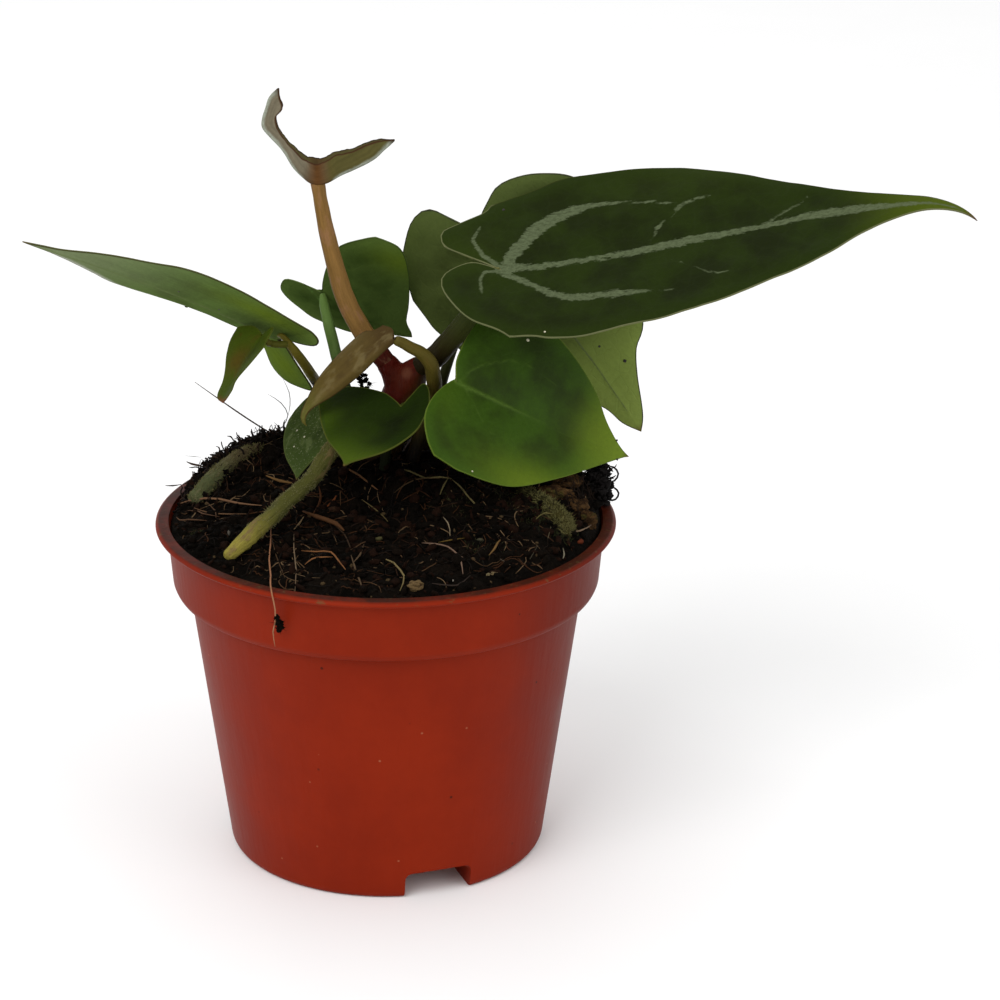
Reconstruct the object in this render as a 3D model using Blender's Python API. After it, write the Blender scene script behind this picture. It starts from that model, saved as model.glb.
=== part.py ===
"""Potted anthurium: a young silver-veined plant in a 12 cm nursery pot.

The file builds every solid piece of the plant and its pot at real size.
Lengths in the tables are millimetres and angles are degrees; the meshes are made in metres.
The origin is the middle of the pot's flat underside, +Z is up and the photographed side faces -Y.
"""

import math
from dataclasses import dataclass
from enum import Enum

import bmesh
import bpy
from mathutils import Matrix, Vector, noise

MM = 0.001
TURN = 2.0 * math.pi

# Gaps kept between touching pieces
CLEARANCE = 0.3

# Pot: a 12 cm low nursery pot with a wide band under its lip
POT_HEIGHT = 90.3
LIP_RADIUS = 60.0
LIP_DEPTH = 2.2
BAND_TOP_RADIUS = 56.9
BAND_FOOT_RADIUS = 55.7
BAND_FOOT_HEIGHT = 72.0
BODY_TOP_RADIUS = 51.4
BASE_RADIUS = 41.7
POT_WALL = 1.2
FLOOR_THICKNESS = 1.4
POT_SIDES = 60

# Drain pockets: three raised notches in the foot of the pot
POCKET_AZIMUTHS = (-69.5, 50.5, 170.5)
POCKET_WIDTH = 18.0
POCKET_HEIGHT = 6.0
POCKET_LIP = 2.3
POCKET_INNER_RADIUS = 26.0
DRAIN_SLOT = (9.0, 3.0)
DRAIN_SLOT_RADIUS = 32.0

# Soil: level with the front rim, standing 8 mm above it at the back right
SOIL_EDGE_HEIGHT = 88.6
SOIL_RISE = 5.8
SOIL_RISE_SWING = 3.6
SOIL_HIGH_AZIMUTH = 50.0
SOIL_SHOULDER = 6.0
SOIL_SHOULDER_SWING = 3.8
SOIL_EDGE_FALL = 1.6
SOIL_LUMP = 1.5
SOIL_LUMP_SIZE = 7.0
SOIL_RINGS = 10

# Mounds on the soil: x, y, height and radius of each
SOIL_MOUNDS = (
    (0.0, 18.0, 3.0, 20.0),
    (-26.0, 39.0, 4.0, 9.0),
    (-41.0, 31.0, 5.5, 9.0),
    (-51.0, 18.0, 4.0, 6.0),
    (50.0, 14.0, 3.0, 7.0),
)

# Flat outlines of half a blade, from the junction round the basal lobe to the tip.
# Ahead of the junction x is a share of the length, behind it a share of the lobe; y is a
# share of the half width.
HEART = (
    (0.0, 0.0), (-0.50, 0.07), (-0.93, 0.27), (-1.0, 0.52), (-0.70, 0.82), (0.0, 0.98),
    (0.16, 1.0), (0.38, 0.87), (0.62, 0.58), (0.82, 0.25), (0.93, 0.08), (1.0, 0.0),
)
ARROW = (
    (0.0, 0.0), (-0.50, 0.12), (-0.93, 0.30), (-0.98, 0.46), (-0.62, 0.64), (0.0, 0.82),
    (0.12, 0.98), (0.28, 1.0), (0.47, 0.80), (0.66, 0.47), (0.82, 0.20), (0.93, 0.06), (1.0, 0.0),
)
SPINDLE = (
    (0.0, 0.0), (-0.50, 0.10), (-1.0, 0.28), (-0.70, 0.46), (0.0, 0.62), (0.16, 0.80),
    (0.36, 1.0), (0.56, 0.92), (0.74, 0.62), (0.88, 0.26), (0.95, 0.09), (1.0, 0.0),
)
LARGE_UPPER = (
    (0.0, 0.0), (-0.35, 0.10), (-0.68, 0.20), (-1.0, 0.32), (-0.98, 0.45), (-0.68, 0.56),
    (-0.33, 0.66), (0.0, 0.82), (0.15, 1.0), (0.35, 0.94), (0.48, 0.76), (0.63, 0.47),
    (0.77, 0.22), (0.90, 0.08), (1.0, 0.0),
)
LARGE_LOWER = (
    (0.0, 0.0), (-0.45, -0.05), (-0.80, -0.05), (-0.97, 0.08), (-0.82, 0.36), (-0.38, 0.64),
    (0.05, 0.88), (0.14, 1.0), (0.22, 0.98), (0.36, 0.92), (0.48, 0.83), (0.65, 0.56),
    (0.75, 0.30), (0.84, 0.13), (0.94, 0.04), (1.0, 0.0),
)

LOBE_CREASE = 3.0
TIP_START = 0.8


@dataclass(frozen=True)
class Finish:
    """Base look of one piece."""

    colour: tuple[float, float, float]
    roughness: float


@dataclass(frozen=True)
class Blade:
    """One leaf blade: where its junction is, how it is turned, and how it bends."""

    name: str
    finish: Finish
    junction: tuple[float, float, float]
    azimuth: float
    elevation: float
    roll: float
    length: float
    half_widths: tuple[float, float]
    lobes: tuple[float, float]
    folds: tuple[float, float]
    bend: float = 0.0
    sway: float = 0.0
    twist: float = 0.0
    curl: float = 0.0
    lobe_lift: float = 0.0
    tip_bend: float = 0.0
    tip_sway: float = 0.0
    thickness: float = 0.7
    outlines: tuple[tuple, tuple] = (HEART, HEART)
    lobe_rows: int = 8
    rows: int = 9
    columns: int = 4

    def turn(self, u: float) -> tuple[float, float]:
        """Droop and sideways angle of the midrib at u millimetres from the junction."""
        share = u / self.length
        tip = max(0.0, (share - TIP_START) / (1.0 - TIP_START)) ** 2
        droop = self.bend * share + self.tip_bend * tip
        aside = self.sway * share + self.tip_sway * tip
        return math.radians(droop), math.radians(aside)

    def midrib(self, u: float) -> Vector:
        """Point of the midrib in the blade's own frame."""
        steps = 32
        point = Vector((0.0, 0.0, 0.0))
        for step in range(steps):
            droop, aside = self.turn(u * (step + 0.5) / steps)
            heading = (math.cos(aside) * math.cos(droop), math.sin(aside) * math.cos(droop), -math.sin(droop))
            point += Vector(heading) * (u / steps)
        return point

    def frame(self, u: float) -> tuple[Vector, Vector, Vector]:
        """Spine point, leftward and upward directions at u, which is negative in the lobes."""
        if u < 0.0:
            back = -u
            lift = math.radians(self.lobe_lift) * (1.0 - math.exp(-back / LOBE_CREASE))
            point = Vector((-math.cos(lift), 0.0, math.sin(lift))) * back
            return point, Vector((0.0, 1.0, 0.0)), Vector((math.sin(lift), 0.0, math.cos(lift)))
        droop, aside = self.turn(u)
        left = Vector((-math.sin(aside), math.cos(aside), 0.0))
        up = Vector((math.cos(aside) * math.sin(droop), math.sin(aside) * math.sin(droop), math.cos(droop)))
        spin = math.radians(self.twist) * u / self.length
        turned_left = left * math.cos(spin) + up * math.sin(spin)
        turned_up = up * math.cos(spin) - left * math.sin(spin)
        return self.midrib(u), turned_left, turned_up

    def pose(self) -> Matrix:
        """Turn from the blade's own frame to the world."""
        azimuth = math.radians(self.azimuth)
        elevation = math.radians(self.elevation)
        roll = math.radians(self.roll)
        level = math.cos(elevation)
        forward = Vector((level * math.cos(azimuth), level * math.sin(azimuth), math.sin(elevation)))
        left = Vector((-math.sin(azimuth), math.cos(azimuth), 0.0))
        up = forward.cross(left)
        rolled_left = left * math.cos(roll) + up * math.sin(roll)
        rolled_up = up * math.cos(roll) - left * math.sin(roll)
        return Matrix((forward, rolled_left, rolled_up)).transposed()

    def point(self, u: float, w: float, side: int) -> Vector:
        """World position in millimetres of the spot u along and w across on one side."""
        index = 0 if side > 0 else 1
        spine, left, up = self.frame(u)
        fold = math.radians(self.folds[index])
        rate = math.radians(self.curl) / self.half_widths[index]
        if abs(rate) > 1e-9:
            across = (math.sin(fold + rate * w) - math.sin(fold)) / rate
            rise = (math.cos(fold) - math.cos(fold + rate * w)) / rate
        else:
            across = w * math.cos(fold)
            rise = w * math.sin(fold)
        own = spine + left * (side * across) + up * rise
        return Vector(self.junction) + self.pose() @ own


LEAF_DARK = Finish((0.035, 0.060, 0.018), 0.45)
LEAF_BRIGHT = Finish((0.070, 0.160, 0.025), 0.40)
LEAF_UNDER = Finish((0.110, 0.150, 0.060), 0.60)
LEAF_OLIVE = Finish((0.130, 0.120, 0.045), 0.50)
LEAF_YOUNG = Finish((0.150, 0.100, 0.060), 0.55)

BLADES = (
    Blade("leaf_large_veined", LEAF_DARK, (29.2, 8.0, 154.9), 1.5, 10.0, 30.0, 124.0,
          (28.0, 27.0), (17.0, 16.0), (2.0, 2.0), bend=-7.5, sway=-8.5, twist=-4.0, tip_bend=19.0,
          tip_sway=-49.0, thickness=0.8, outlines=(LARGE_UPPER, LARGE_LOWER), lobe_rows=10,
          rows=17, columns=5),
    Blade("leaf_back_broad", LEAF_UNDER, (27.7, 42.0, 152.7), 4.5, -49.0, -77.0, 67.0,
          (29.0, 28.5), (18.0, 11.5), (0.0, -1.0), bend=8.0, sway=7.0, twist=1.0, rows=11),
    Blade("leaf_front_heart", LEAF_BRIGHT, (18.0, 3.0, 126.1), 7.0, -29.0, 49.5, 53.0,
          (28.5, 24.5), (1.8, 4.7), (10.0, 8.5), bend=8.0, sway=10.5, twist=9.0, rows=11),
    Blade("leaf_left_long", LEAF_OLIVE, (-29.1, 24.0, 130.7), 207.5, 31.5, 23.5, 78.0,
          (18.5, 22.5), (7.5, 21.0), (4.0, 13.0), bend=8.0, sway=-4.0, twist=11.0, lobe_lift=-26.0,
          outlines=(ARROW, ARROW), rows=12),
    Blade("leaf_middle_heart", LEAF_BRIGHT, (-18.3, 44.0, 137.1), 6.5, -34.0, -50.0, 28.5,
          (18.5, 27.5), (9.0, 4.0), (15.0, 8.0), bend=-14.5, sway=3.0, twist=-11.0, lobe_rows=7, rows=8),
    Blade("leaf_low_heart", LEAF_DARK, (3.9, 2.0, 119.6), 239.0, -23.5, 3.5, 29.0,
          (10.5, 21.5), (8.0, 4.0), (4.0, 6.0), bend=-17.0, sway=3.0, twist=1.0, lobe_rows=7, rows=8),
    Blade("leaf_low_back", LEAF_UNDER, (-15.7, 20.0, 111.4), 236.0, -39.0, 21.0, 22.0,
          (8.0, 13.5), (4.0, 6.5), (-4.0, 7.0), sway=13.0, rows=8, columns=3),
    Blade("leaf_small_curled", LEAF_OLIVE, (-32.5, 11.0, 135.3), 224.0, -42.5, 15.5, 20.5,
          (8.0, 10.0), (3.0, 2.0), (15.0, 20.0), bend=6.0, sway=6.0, twist=7.5, columns=3),
    Blade("leaf_rolled_brown", LEAF_YOUNG, (2.0, 4.0, 137.3), 193.5, -36.5, -62.0, 32.5,
          (2.6, 11.0), (1.2, 1.2), (-25.0, -18.0), bend=7.0, sway=3.5, twist=9.5, curl=-47.0,
          outlines=(SPINDLE, SPINDLE)),
    Blade("leaf_top_unfurling", LEAF_YOUNG, (-18.1, 24.0, 173.8), 174.5, 30.5, 37.0, 32.5,
          (10.0, 8.5), (23.0, 24.0), (-21.0, 32.0), bend=-78.0, sway=-51.0, twist=10.0, lobe_lift=62.0,
          outlines=(ARROW, ARROW)),
)

class Meeting(Enum):
    """How the end of a stalk comes to its blade."""

    UNDER = "hooked up against the underside"
    OWN = "along its own stations"


@dataclass(frozen=True)
class Stalk:
    """One leaf stalk: its own stations, then a hook that meets the blade's junction."""

    name: str
    blade: str
    finish: Finish
    points: tuple
    radii: tuple
    end_radius: float
    meets: Meeting = Meeting.UNDER


STALKS = (
    Stalk("stalk_large_veined", "leaf_large_veined", Finish((0.055, 0.050, 0.020), 0.45),
          ((7.9, 17.8, 125.0), (12.0, 14.2, 128.8), (16.2, 10.4, 134.7), (20.4, 7.5, 141.2), (24.4, 6.2, 147.6),
           (27.0, 7.5, 150.3), (28.7, 8.8, 152.1)),
          (2.6, 3.0, 2.9, 2.6, 2.3, 2.0, 1.5), 1.5, meets=Meeting.OWN),
    Stalk("stalk_top_unfurling", "leaf_top_unfurling", Finish((0.230, 0.105, 0.045), 0.45),
          ((-0.6, 20.0, 125.7), (-3.5, 20.5, 129.3), (-6.9, 20.5, 134.3), (-10.7, 20.5, 141.7),
           (-14.0, 21.0, 152.6), (-16.4, 22.5, 162.7)),
          (2.7, 2.8, 2.7, 2.6, 2.3, 1.9), 1.5),
    Stalk("stalk_back_broad", "leaf_back_broad", Finish((0.050, 0.055, 0.020), 0.50),
          ((9.0, 26.0, 86.0), (10.0, 25.5, 98.0), (12.0, 25.0, 108.0), (14.0, 26.0, 118.0), (16.6, 28.5, 126.1),
           (20.2, 32.0, 134.6), (24.2, 35.5, 144.5)),
          (1.7, 1.7, 1.6, 1.4, 1.3, 1.2, 1.1), 1.0),
    Stalk("stalk_front_heart", "leaf_front_heart", Finish((0.080, 0.110, 0.030), 0.50),
          ((15.0, 17.0, 86.0), (15.0, 17.0, 98.0), (16.6, 14.5, 108.0), (18.0, 10.5, 117.0)),
          (1.5, 1.5, 1.4, 1.2), 1.0),
    Stalk("stalk_left_long", "leaf_left_long", Finish((0.200, 0.170, 0.050), 0.50),
          ((-15.0, 40.0, 86.0), (-15.0, 40.0, 98.0), (-16.3, 37.5, 107.0), (-19.8, 32.0, 116.1), (-21.1, 25.2, 121.2),
           (-22.9, 20.6, 126.0), (-24.6, 18.9, 129.1), (-26.2, 19.2, 131.1), (-27.4, 19.0, 132.7)),
          (1.5, 1.5, 1.4, 1.4, 1.4, 1.3, 1.2, 1.0, 0.8), 0.8, meets=Meeting.OWN),
    Stalk("stalk_middle_heart", "leaf_middle_heart", Finish((0.130, 0.200, 0.050), 0.50),
          ((-7.0, 31.0, 86.0), (-7.0, 31.0, 98.0), (-9.5, 31.0, 108.0), (-12.5, 32.5, 116.3), (-14.6, 34.5, 123.6),
           (-16.4, 36.5, 130.6)),
          (1.3, 1.3, 1.3, 1.25, 1.2, 1.15), 0.9),
    Stalk("stalk_low_heart", "leaf_low_heart", Finish((0.080, 0.110, 0.030), 0.50),
          ((-1.0, 9.0, 86.0), (-1.0, 9.0, 98.0), (0.5, 8.0, 108.0)),
          (1.4, 1.4, 1.3), 0.9),
    Stalk("stalk_low_back", "leaf_low_back", Finish((0.080, 0.110, 0.030), 0.50),
          ((-12.0, 24.0, 86.0), (-12.0, 24.0, 98.0), (-12.6, 23.6, 102.0)),
          (1.2, 1.2, 1.1), 0.8),
    Stalk("stalk_small_curled", "leaf_small_curled", Finish((0.200, 0.140, 0.060), 0.60),
          ((-26.6, 16.2, 131.6), (-28.6, 14.8, 132.0), (-30.6, 13.6, 132.7)),
          (0.9, 0.9, 0.9), 0.8),
    Stalk("stalk_rolled_brown", "leaf_rolled_brown", Finish((0.140, 0.130, 0.050), 0.50),
          ((6.0, 12.5, 86.0), (6.0, 12.5, 98.0), (8.8, 13.6, 109.0), (11.8, 13.6, 117.5), (12.1, 8.8, 126.0),
           (11.3, 6.6, 130.1), (8.8, 5.4, 133.3), (6.1, 4.9, 134.9), (4.3, 4.7, 136.0)),
          (1.6, 1.8, 1.9, 2.0, 1.9, 1.7, 1.5, 1.3, 1.1), 1.1, meets=Meeting.OWN),
)

# Roots: points from the stem end to the tip, with a radius at each point
ROOTS = {
    "root_front": (
        Finish((0.230, 0.210, 0.090), 0.80),
        ((-3.0, 19.0, 105.5), (-8.5, 11.0, 108.3), (-15.6, 1.0, 107.8), (-21.3, -9.0, 102.5), (-28.5, -20.0, 98.4),
         (-34.6, -28.5, 95.4), (-39.4, -33.8, 92.6)),
        (2.2, 2.3, 2.5, 2.3, 2.3, 2.4, 1.9),
    ),
    "root_left": (
        Finish((0.120, 0.125, 0.070), 0.85),
        ((-34.5, 29.0, 96.6), (-39.6, 22.0, 97.4), (-45.6, 13.0, 94.8), (-50.0, 5.0, 92.6)),
        (1.7, 2.0, 2.0, 1.5),
    ),
    "root_right_mossy": (
        Finish((0.110, 0.120, 0.060), 0.90),
        ((35.0, 2.0, 97.6), (41.3, -7.0, 96.6), (45.3, -14.0, 94.6), (47.0, -19.0, 92.6)),
        (2.2, 3.0, 3.0, 2.0),
    ),
}

CROWN_FINISH = Finish((0.170, 0.022, 0.018), 0.40)
CROWN_TRUNK = ((-3.0, 20.0, 84.0), (-2.5, 20.0, 98.0), (0.0, 20.0, 108.0), (3.2, 19.8, 117.5))
CROWN_TRUNK_RADII = (5.0, 5.6, 5.2, 4.6)
CROWN_LEFT = ((3.2, 19.8, 114.0), (2.6, 19.9, 119.0), (1.2, 20.0, 123.0), (-0.4, 20.0, 125.5))
CROWN_LEFT_RADII = (4.0, 3.6, 3.2, 2.9)
CROWN_KNOB = ((3.8, 19.6, 114.0), (5.4, 19.0, 119.0), (6.6, 18.4, 123.0), (8.2, 17.6, 125.4))
CROWN_KNOB_RADII = (3.6, 4.0, 4.1, 3.0)

POT_FINISH = Finish((0.250, 0.030, 0.012), 0.38)
SOIL_FINISH = Finish((0.012, 0.009, 0.007), 0.95)
BARK_FINISH = Finish((0.060, 0.038, 0.022), 0.90)
CHIP_FINISH = Finish((0.300, 0.240, 0.150), 0.85)

# Loose pieces lying on the soil: centre, size along x, y and z, turn about z, finish
CHUNKS = {
    "bark_right": ((44.5, 6.5, 98.4), (13.0, 8.5, 5.5), -25.0, BARK_FINISH),
    "bark_far_right": ((49.5, -4.5, 94.9), (7.0, 5.5, 4.0), 40.0, BARK_FINISH),
    "chip_front": ((9.0, -50.5, 91.2), (4.0, 3.0, 2.6), 15.0, CHIP_FINISH),
}

SHEATH_FINISH = Finish((0.160, 0.120, 0.090), 0.85)
SHEATH_PATH = ((-8.0, 15.2, 116.4), (-5.2, 14.6, 119.4), (-2.8, 14.4, 118.4), (-1.6, 14.6, 115.4), (-1.9, 14.4, 109.6))


def clear_scene() -> None:
    """Remove every object of the open file."""
    for item in list(bpy.data.objects):
        bpy.data.objects.remove(item, do_unlink=True)


def material(name: str, finish: Finish) -> bpy.types.Material:
    """Principled material with one colour and roughness."""
    made = bpy.data.materials.new(name)
    made.use_nodes = True
    shader = made.node_tree.nodes["Principled BSDF"]
    shader.inputs["Base Color"].default_value = (*finish.colour, 1.0)
    shader.inputs["Roughness"].default_value = finish.roughness
    shader.inputs["Metallic"].default_value = 0.0
    made.diffuse_color = (*finish.colour, 1.0)
    return made


def add_piece(name: str, mesh: bpy.types.Mesh, finish: Finish | None) -> bpy.types.Object:
    """Link a mesh as one named object; without a finish it is a cutter and stays out of the part."""
    piece = bpy.data.objects.new(name, mesh)
    bpy.context.scene.collection.objects.link(piece)
    if finish is None:
        piece.hide_render = True
        piece.display_type = "WIRE"
    else:
        mesh.materials.append(material(name, finish))
    return piece


def mesh_from(name: str, points: list[Vector], faces: list[tuple[int, ...]]) -> bpy.types.Mesh:
    """Mesh in metres from points in millimetres, with outward normals."""
    mesh = bpy.data.meshes.new(name)
    mesh.from_pydata([point * MM for point in points], [], faces)
    work = bmesh.new()
    work.from_mesh(mesh)
    bmesh.ops.recalc_face_normals(work, faces=work.faces)
    bmesh.ops.triangulate(work, faces=work.faces)
    work.to_mesh(mesh)
    work.free()
    return mesh


def cut(piece: bpy.types.Object, cutter: bpy.types.Object) -> None:
    """Take the cutter's volume out of the piece."""
    change = piece.modifiers.new("cut " + cutter.name, "BOOLEAN")
    change.operation = "DIFFERENCE"
    change.solver = "EXACT"
    change.object = cutter


def join(piece: bpy.types.Object, other: bpy.types.Object) -> None:
    """Fuse another closed mesh into the piece."""
    change = piece.modifiers.new("join " + other.name, "BOOLEAN")
    change.operation = "UNION"
    change.solver = "EXACT"
    change.object = other


def smooth_path(points: tuple, radii: tuple, steps: int) -> list[tuple[Vector, float]]:
    """Smooth points and radii through the given stations, without overshoot where they lie close."""
    knots = [Vector(point) for point in points]
    runs = [far - near for near, far in zip(knots, knots[1:])]
    ways = [run.normalized() for run in runs]
    slopes = [ways[0]]
    for index in range(1, len(runs)):
        before = runs[index - 1].length
        after = runs[index].length
        slopes.append((ways[index - 1] * after + ways[index] * before) / (before + after))
    slopes.append(ways[-1])
    made = []
    for index, run in enumerate(runs):
        start = slopes[index] * run.length
        end = slopes[index + 1] * run.length
        for step in range(steps):
            t = step / steps
            place = knots[index] * (2 * t ** 3 - 3 * t ** 2 + 1) + knots[index + 1] * (3 * t ** 2 - 2 * t ** 3)
            place += start * (t ** 3 - 2 * t ** 2 + t) + end * (t ** 3 - t ** 2)
            made.append((place, radii[index] + (radii[index + 1] - radii[index]) * t))
    made.append((knots[-1], radii[-1]))
    return made


def tube_mesh(name: str, points: tuple, radii: tuple, grow: float = 0.0, sides: int = 8,
              steps: int = 2) -> bpy.types.Mesh:
    """Closed tube with domed ends along a smooth path, grown outward by grow millimetres."""
    stations = smooth_path(points, radii, steps)
    first, second = stations[0][0], stations[1][0]
    last, before = stations[-1][0], stations[-2][0]
    start_way = (first - second).normalized()
    end_way = (last - before).normalized()
    dome_start = (first + start_way * (stations[0][1] * 0.45 + grow), stations[0][1] * 0.55 + grow * 0.8)
    dome_end = (last + end_way * (stations[-1][1] * 0.45 + grow), stations[-1][1] * 0.55 + grow * 0.8)
    rings = [dome_start]
    rings += [(place, radius + grow) for place, radius in stations]
    rings.append(dome_end)
    normal = start_way.orthogonal().normalized()
    vertices = []
    for index, (place, radius) in enumerate(rings):
        ahead = rings[min(index + 1, len(rings) - 1)][0]
        behind = rings[max(index - 1, 0)][0]
        way = (ahead - behind).normalized()
        normal = (normal - way * normal.dot(way)).normalized()
        across = way.cross(normal)
        for side in range(sides):
            angle = TURN * side / sides
            vertices.append(place + (normal * math.cos(angle) + across * math.sin(angle)) * radius)
    faces = []
    for ring in range(len(rings) - 1):
        for side in range(sides):
            here = ring * sides + side
            beside = ring * sides + (side + 1) % sides
            faces.append((here, beside, beside + sides, here + sides))
    faces.append(tuple(range(sides)))
    faces.append(tuple(range((len(rings) - 1) * sides, len(rings) * sides)))
    return mesh_from(name, vertices, faces)


def spun_mesh(name: str, profile: list[tuple[float, float]], sides: int) -> bpy.types.Mesh:
    """Closed body turned about the Z axis; the profile starts and ends on the axis."""
    vertices = [Vector((0.0, 0.0, profile[0][1]))]
    inner = profile[1:-1]
    for radius, height in inner:
        for side in range(sides):
            angle = TURN * side / sides
            vertices.append(Vector((radius * math.cos(angle), radius * math.sin(angle), height)))
    vertices.append(Vector((0.0, 0.0, profile[-1][1])))
    top = len(vertices) - 1
    faces = []
    for side in range(sides):
        beside = (side + 1) % sides
        faces.append((0, 1 + side, 1 + beside))
        for ring in range(len(inner) - 1):
            here = 1 + ring * sides
            faces.append((here + side, here + beside, here + sides + beside, here + sides + side))
        rim = 1 + (len(inner) - 1) * sides
        faces.append((top, rim + side, rim + beside))
    return mesh_from(name, vertices, faces)


def smooth_outline(outline: tuple) -> list[Vector]:
    """Close points on a smooth curve through the outline's stations."""
    knots = [Vector((x, y)) for x, y in outline]
    fine = []
    for index in range(len(knots) - 1):
        before = knots[max(index - 1, 0)]
        start = knots[index]
        end = knots[index + 1]
        after = knots[min(index + 2, len(knots) - 1)]
        for step in range(12):
            t = step / 12
            pull = (end - before) * t + (2 * before - 5 * start + 4 * end - after) * t * t
            pull += (3 * start - before - 3 * end + after) * t * t * t
            fine.append(start + pull * 0.5)
    fine.append(knots[-1])
    return fine


def evenly_spaced(points: list[Vector], count: int) -> list[Vector]:
    """Points at equal steps along a line of close points, both ends included."""
    travelled = [0.0]
    for near, far in zip(points, points[1:]):
        travelled.append(travelled[-1] + (far - near).length)
    spaced = []
    index = 0
    for number in range(count):
        wanted = travelled[-1] * number / (count - 1)
        while index < len(points) - 2 and travelled[index + 1] < wanted:
            index += 1
        stretch = travelled[index + 1] - travelled[index]
        spaced.append(points[index].lerp(points[index + 1], (wanted - travelled[index]) / stretch))
    return spaced


def margin_stations(outline: tuple, lobe_rows: int, rows: int) -> list[Vector]:
    """Margin points: evenly round the lobe, then at equal steps along the midrib to the tip."""
    fine = smooth_outline(outline)
    last = max(index for index, point in enumerate(fine[:-1]) if point.x <= 1e-9)
    near = fine[last]
    far = fine[last + 1]
    share = (0.0 - near.x) / (far.x - near.x)
    level = near.lerp(far, share)
    stations = evenly_spaced(fine[:last + 1] + ([level] if share > 1e-6 else []), lobe_rows + 1)
    stations[-1].x = 0.0
    ahead = [level] + fine[last + 1:]
    index = 0
    for number in range(1, rows + 1):
        wanted = number / rows
        while index < len(ahead) - 2 and ahead[index + 1].x < wanted:
            index += 1
        share = (wanted - ahead[index].x) / (ahead[index + 1].x - ahead[index].x)
        width = ahead[index].y + (ahead[index + 1].y - ahead[index].y) * share
        stations.append(Vector((wanted, 0.0 if number == rows else max(width, 0.0))))
    return stations


def blade_sheet(blade: Blade) -> tuple[list[Vector], list[tuple[int, int, int]]]:
    """Middle surface of a blade as welded triangles."""
    points = []
    known = {}

    def place(u: float, w: float, side: int) -> int:
        spot = blade.point(u, w, side)
        key = tuple(round(value, 4) for value in spot)
        if key not in known:
            known[key] = len(points)
            points.append(spot)
        return known[key]

    triangles = []
    for side in (1, -1):
        index = 0 if side > 0 else 1
        rows = []
        for x, y in margin_stations(blade.outlines[index], blade.lobe_rows, blade.rows):
            margin_u = x * (blade.lobes[index] if x < 0.0 else blade.length)
            margin_w = y * blade.half_widths[index]
            spine_u = max(margin_u, 0.0)
            row = []
            for column in range(blade.columns + 1):
                share = column / blade.columns
                row.append(place(spine_u + (margin_u - spine_u) * share, margin_w * share, side))
            rows.append(row)
        for low, high in zip(rows, rows[1:]):
            for column in range(blade.columns):
                ring = (low[column], low[column + 1], high[column + 1], high[column])
                for corners in ((ring[0], ring[1], ring[2]), (ring[0], ring[2], ring[3])):
                    if len(set(corners)) == 3:
                        triangles.append(corners if side > 0 else corners[::-1])
    return points, triangles


def blade_mesh(blade: Blade) -> bpy.types.Mesh:
    """Closed blade: the middle surface offset to both sides and joined along its margin."""
    points, triangles = blade_sheet(blade)
    normals = [Vector((0.0, 0.0, 0.0)) for _ in points]
    edges = {}
    for a, b, c in triangles:
        facing = (points[b] - points[a]).cross(points[c] - points[a])
        for corner in (a, b, c):
            normals[corner] += facing
        for near, far in ((a, b), (b, c), (c, a)):
            edges[(near, far)] = True
    half = blade.thickness / 2.0
    count = len(points)
    vertices = [point + normal.normalized() * half for point, normal in zip(points, normals)]
    vertices += [point - normal.normalized() * half for point, normal in zip(points, normals)]
    faces = list(triangles)
    faces += [(c + count, b + count, a + count) for a, b, c in triangles]
    for near, far in edges:
        if (far, near) not in edges:
            faces.append((far, near, near + count, far + count))
    return mesh_from(blade.name, vertices, faces)


def soil_height(x: float, y: float) -> float:
    """Height of the soil's top over a point of the pot."""
    radius = math.hypot(x, y)
    bearing = math.atan2(y, x) - math.radians(SOIL_HIGH_AZIMUTH)
    rise = SOIL_RISE + SOIL_RISE_SWING * math.cos(bearing)
    shoulder = SOIL_SHOULDER - SOIL_SHOULDER_SWING * math.cos(bearing)
    inward = max(0.0, soil_radius(POT_HEIGHT) - radius)
    mound = 0.0
    for centre_x, centre_y, height, spread in SOIL_MOUNDS:
        away = (x - centre_x) ** 2 + (y - centre_y) ** 2
        mound += height * math.exp(-away / (2.0 * spread ** 2))
    mound *= 1.0 - math.exp(-inward / SOIL_EDGE_FALL)
    lumps = noise.noise(Vector((x, y, 0.0)) / SOIL_LUMP_SIZE)
    lumps += 0.6 * noise.noise(Vector((x, y, 40.0)) * 2.1 / SOIL_LUMP_SIZE)
    lumps *= SOIL_LUMP * min(1.0, inward / 4.0)
    return SOIL_EDGE_HEIGHT + rise * (1.0 - math.exp(-inward / shoulder)) + mound + lumps


def pot_inner_profile() -> list[tuple[float, float]]:
    """Radius and height of the pot's inside wall, from the floor to the rim."""
    return [
        (BASE_RADIUS - POT_WALL - 1.2, FLOOR_THICKNESS),
        (BASE_RADIUS - POT_WALL, FLOOR_THICKNESS + 1.2),
        (BODY_TOP_RADIUS - POT_WALL, BAND_FOOT_HEIGHT),
        (BAND_FOOT_RADIUS - POT_WALL - 1.0, BAND_FOOT_HEIGHT + 1.2),
        (BAND_FOOT_RADIUS - POT_WALL, BAND_FOOT_HEIGHT + 2.6),
        (BAND_TOP_RADIUS - POT_WALL + 0.4, POT_HEIGHT - 2.0),
        (BAND_TOP_RADIUS - POT_WALL + 0.9, POT_HEIGHT),
    ]


def soil_radius(height: float) -> float:
    """Radius of the soil at a height, one clearance inside the pot's wall."""
    profile = pot_inner_profile()
    for (low_radius, low), (high_radius, high) in zip(profile, profile[1:]):
        if height <= high:
            share = max(0.0, (height - low) / (high - low))
            return low_radius + (high_radius - low_radius) * share - CLEARANCE
    return profile[-1][0] - CLEARANCE


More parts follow.
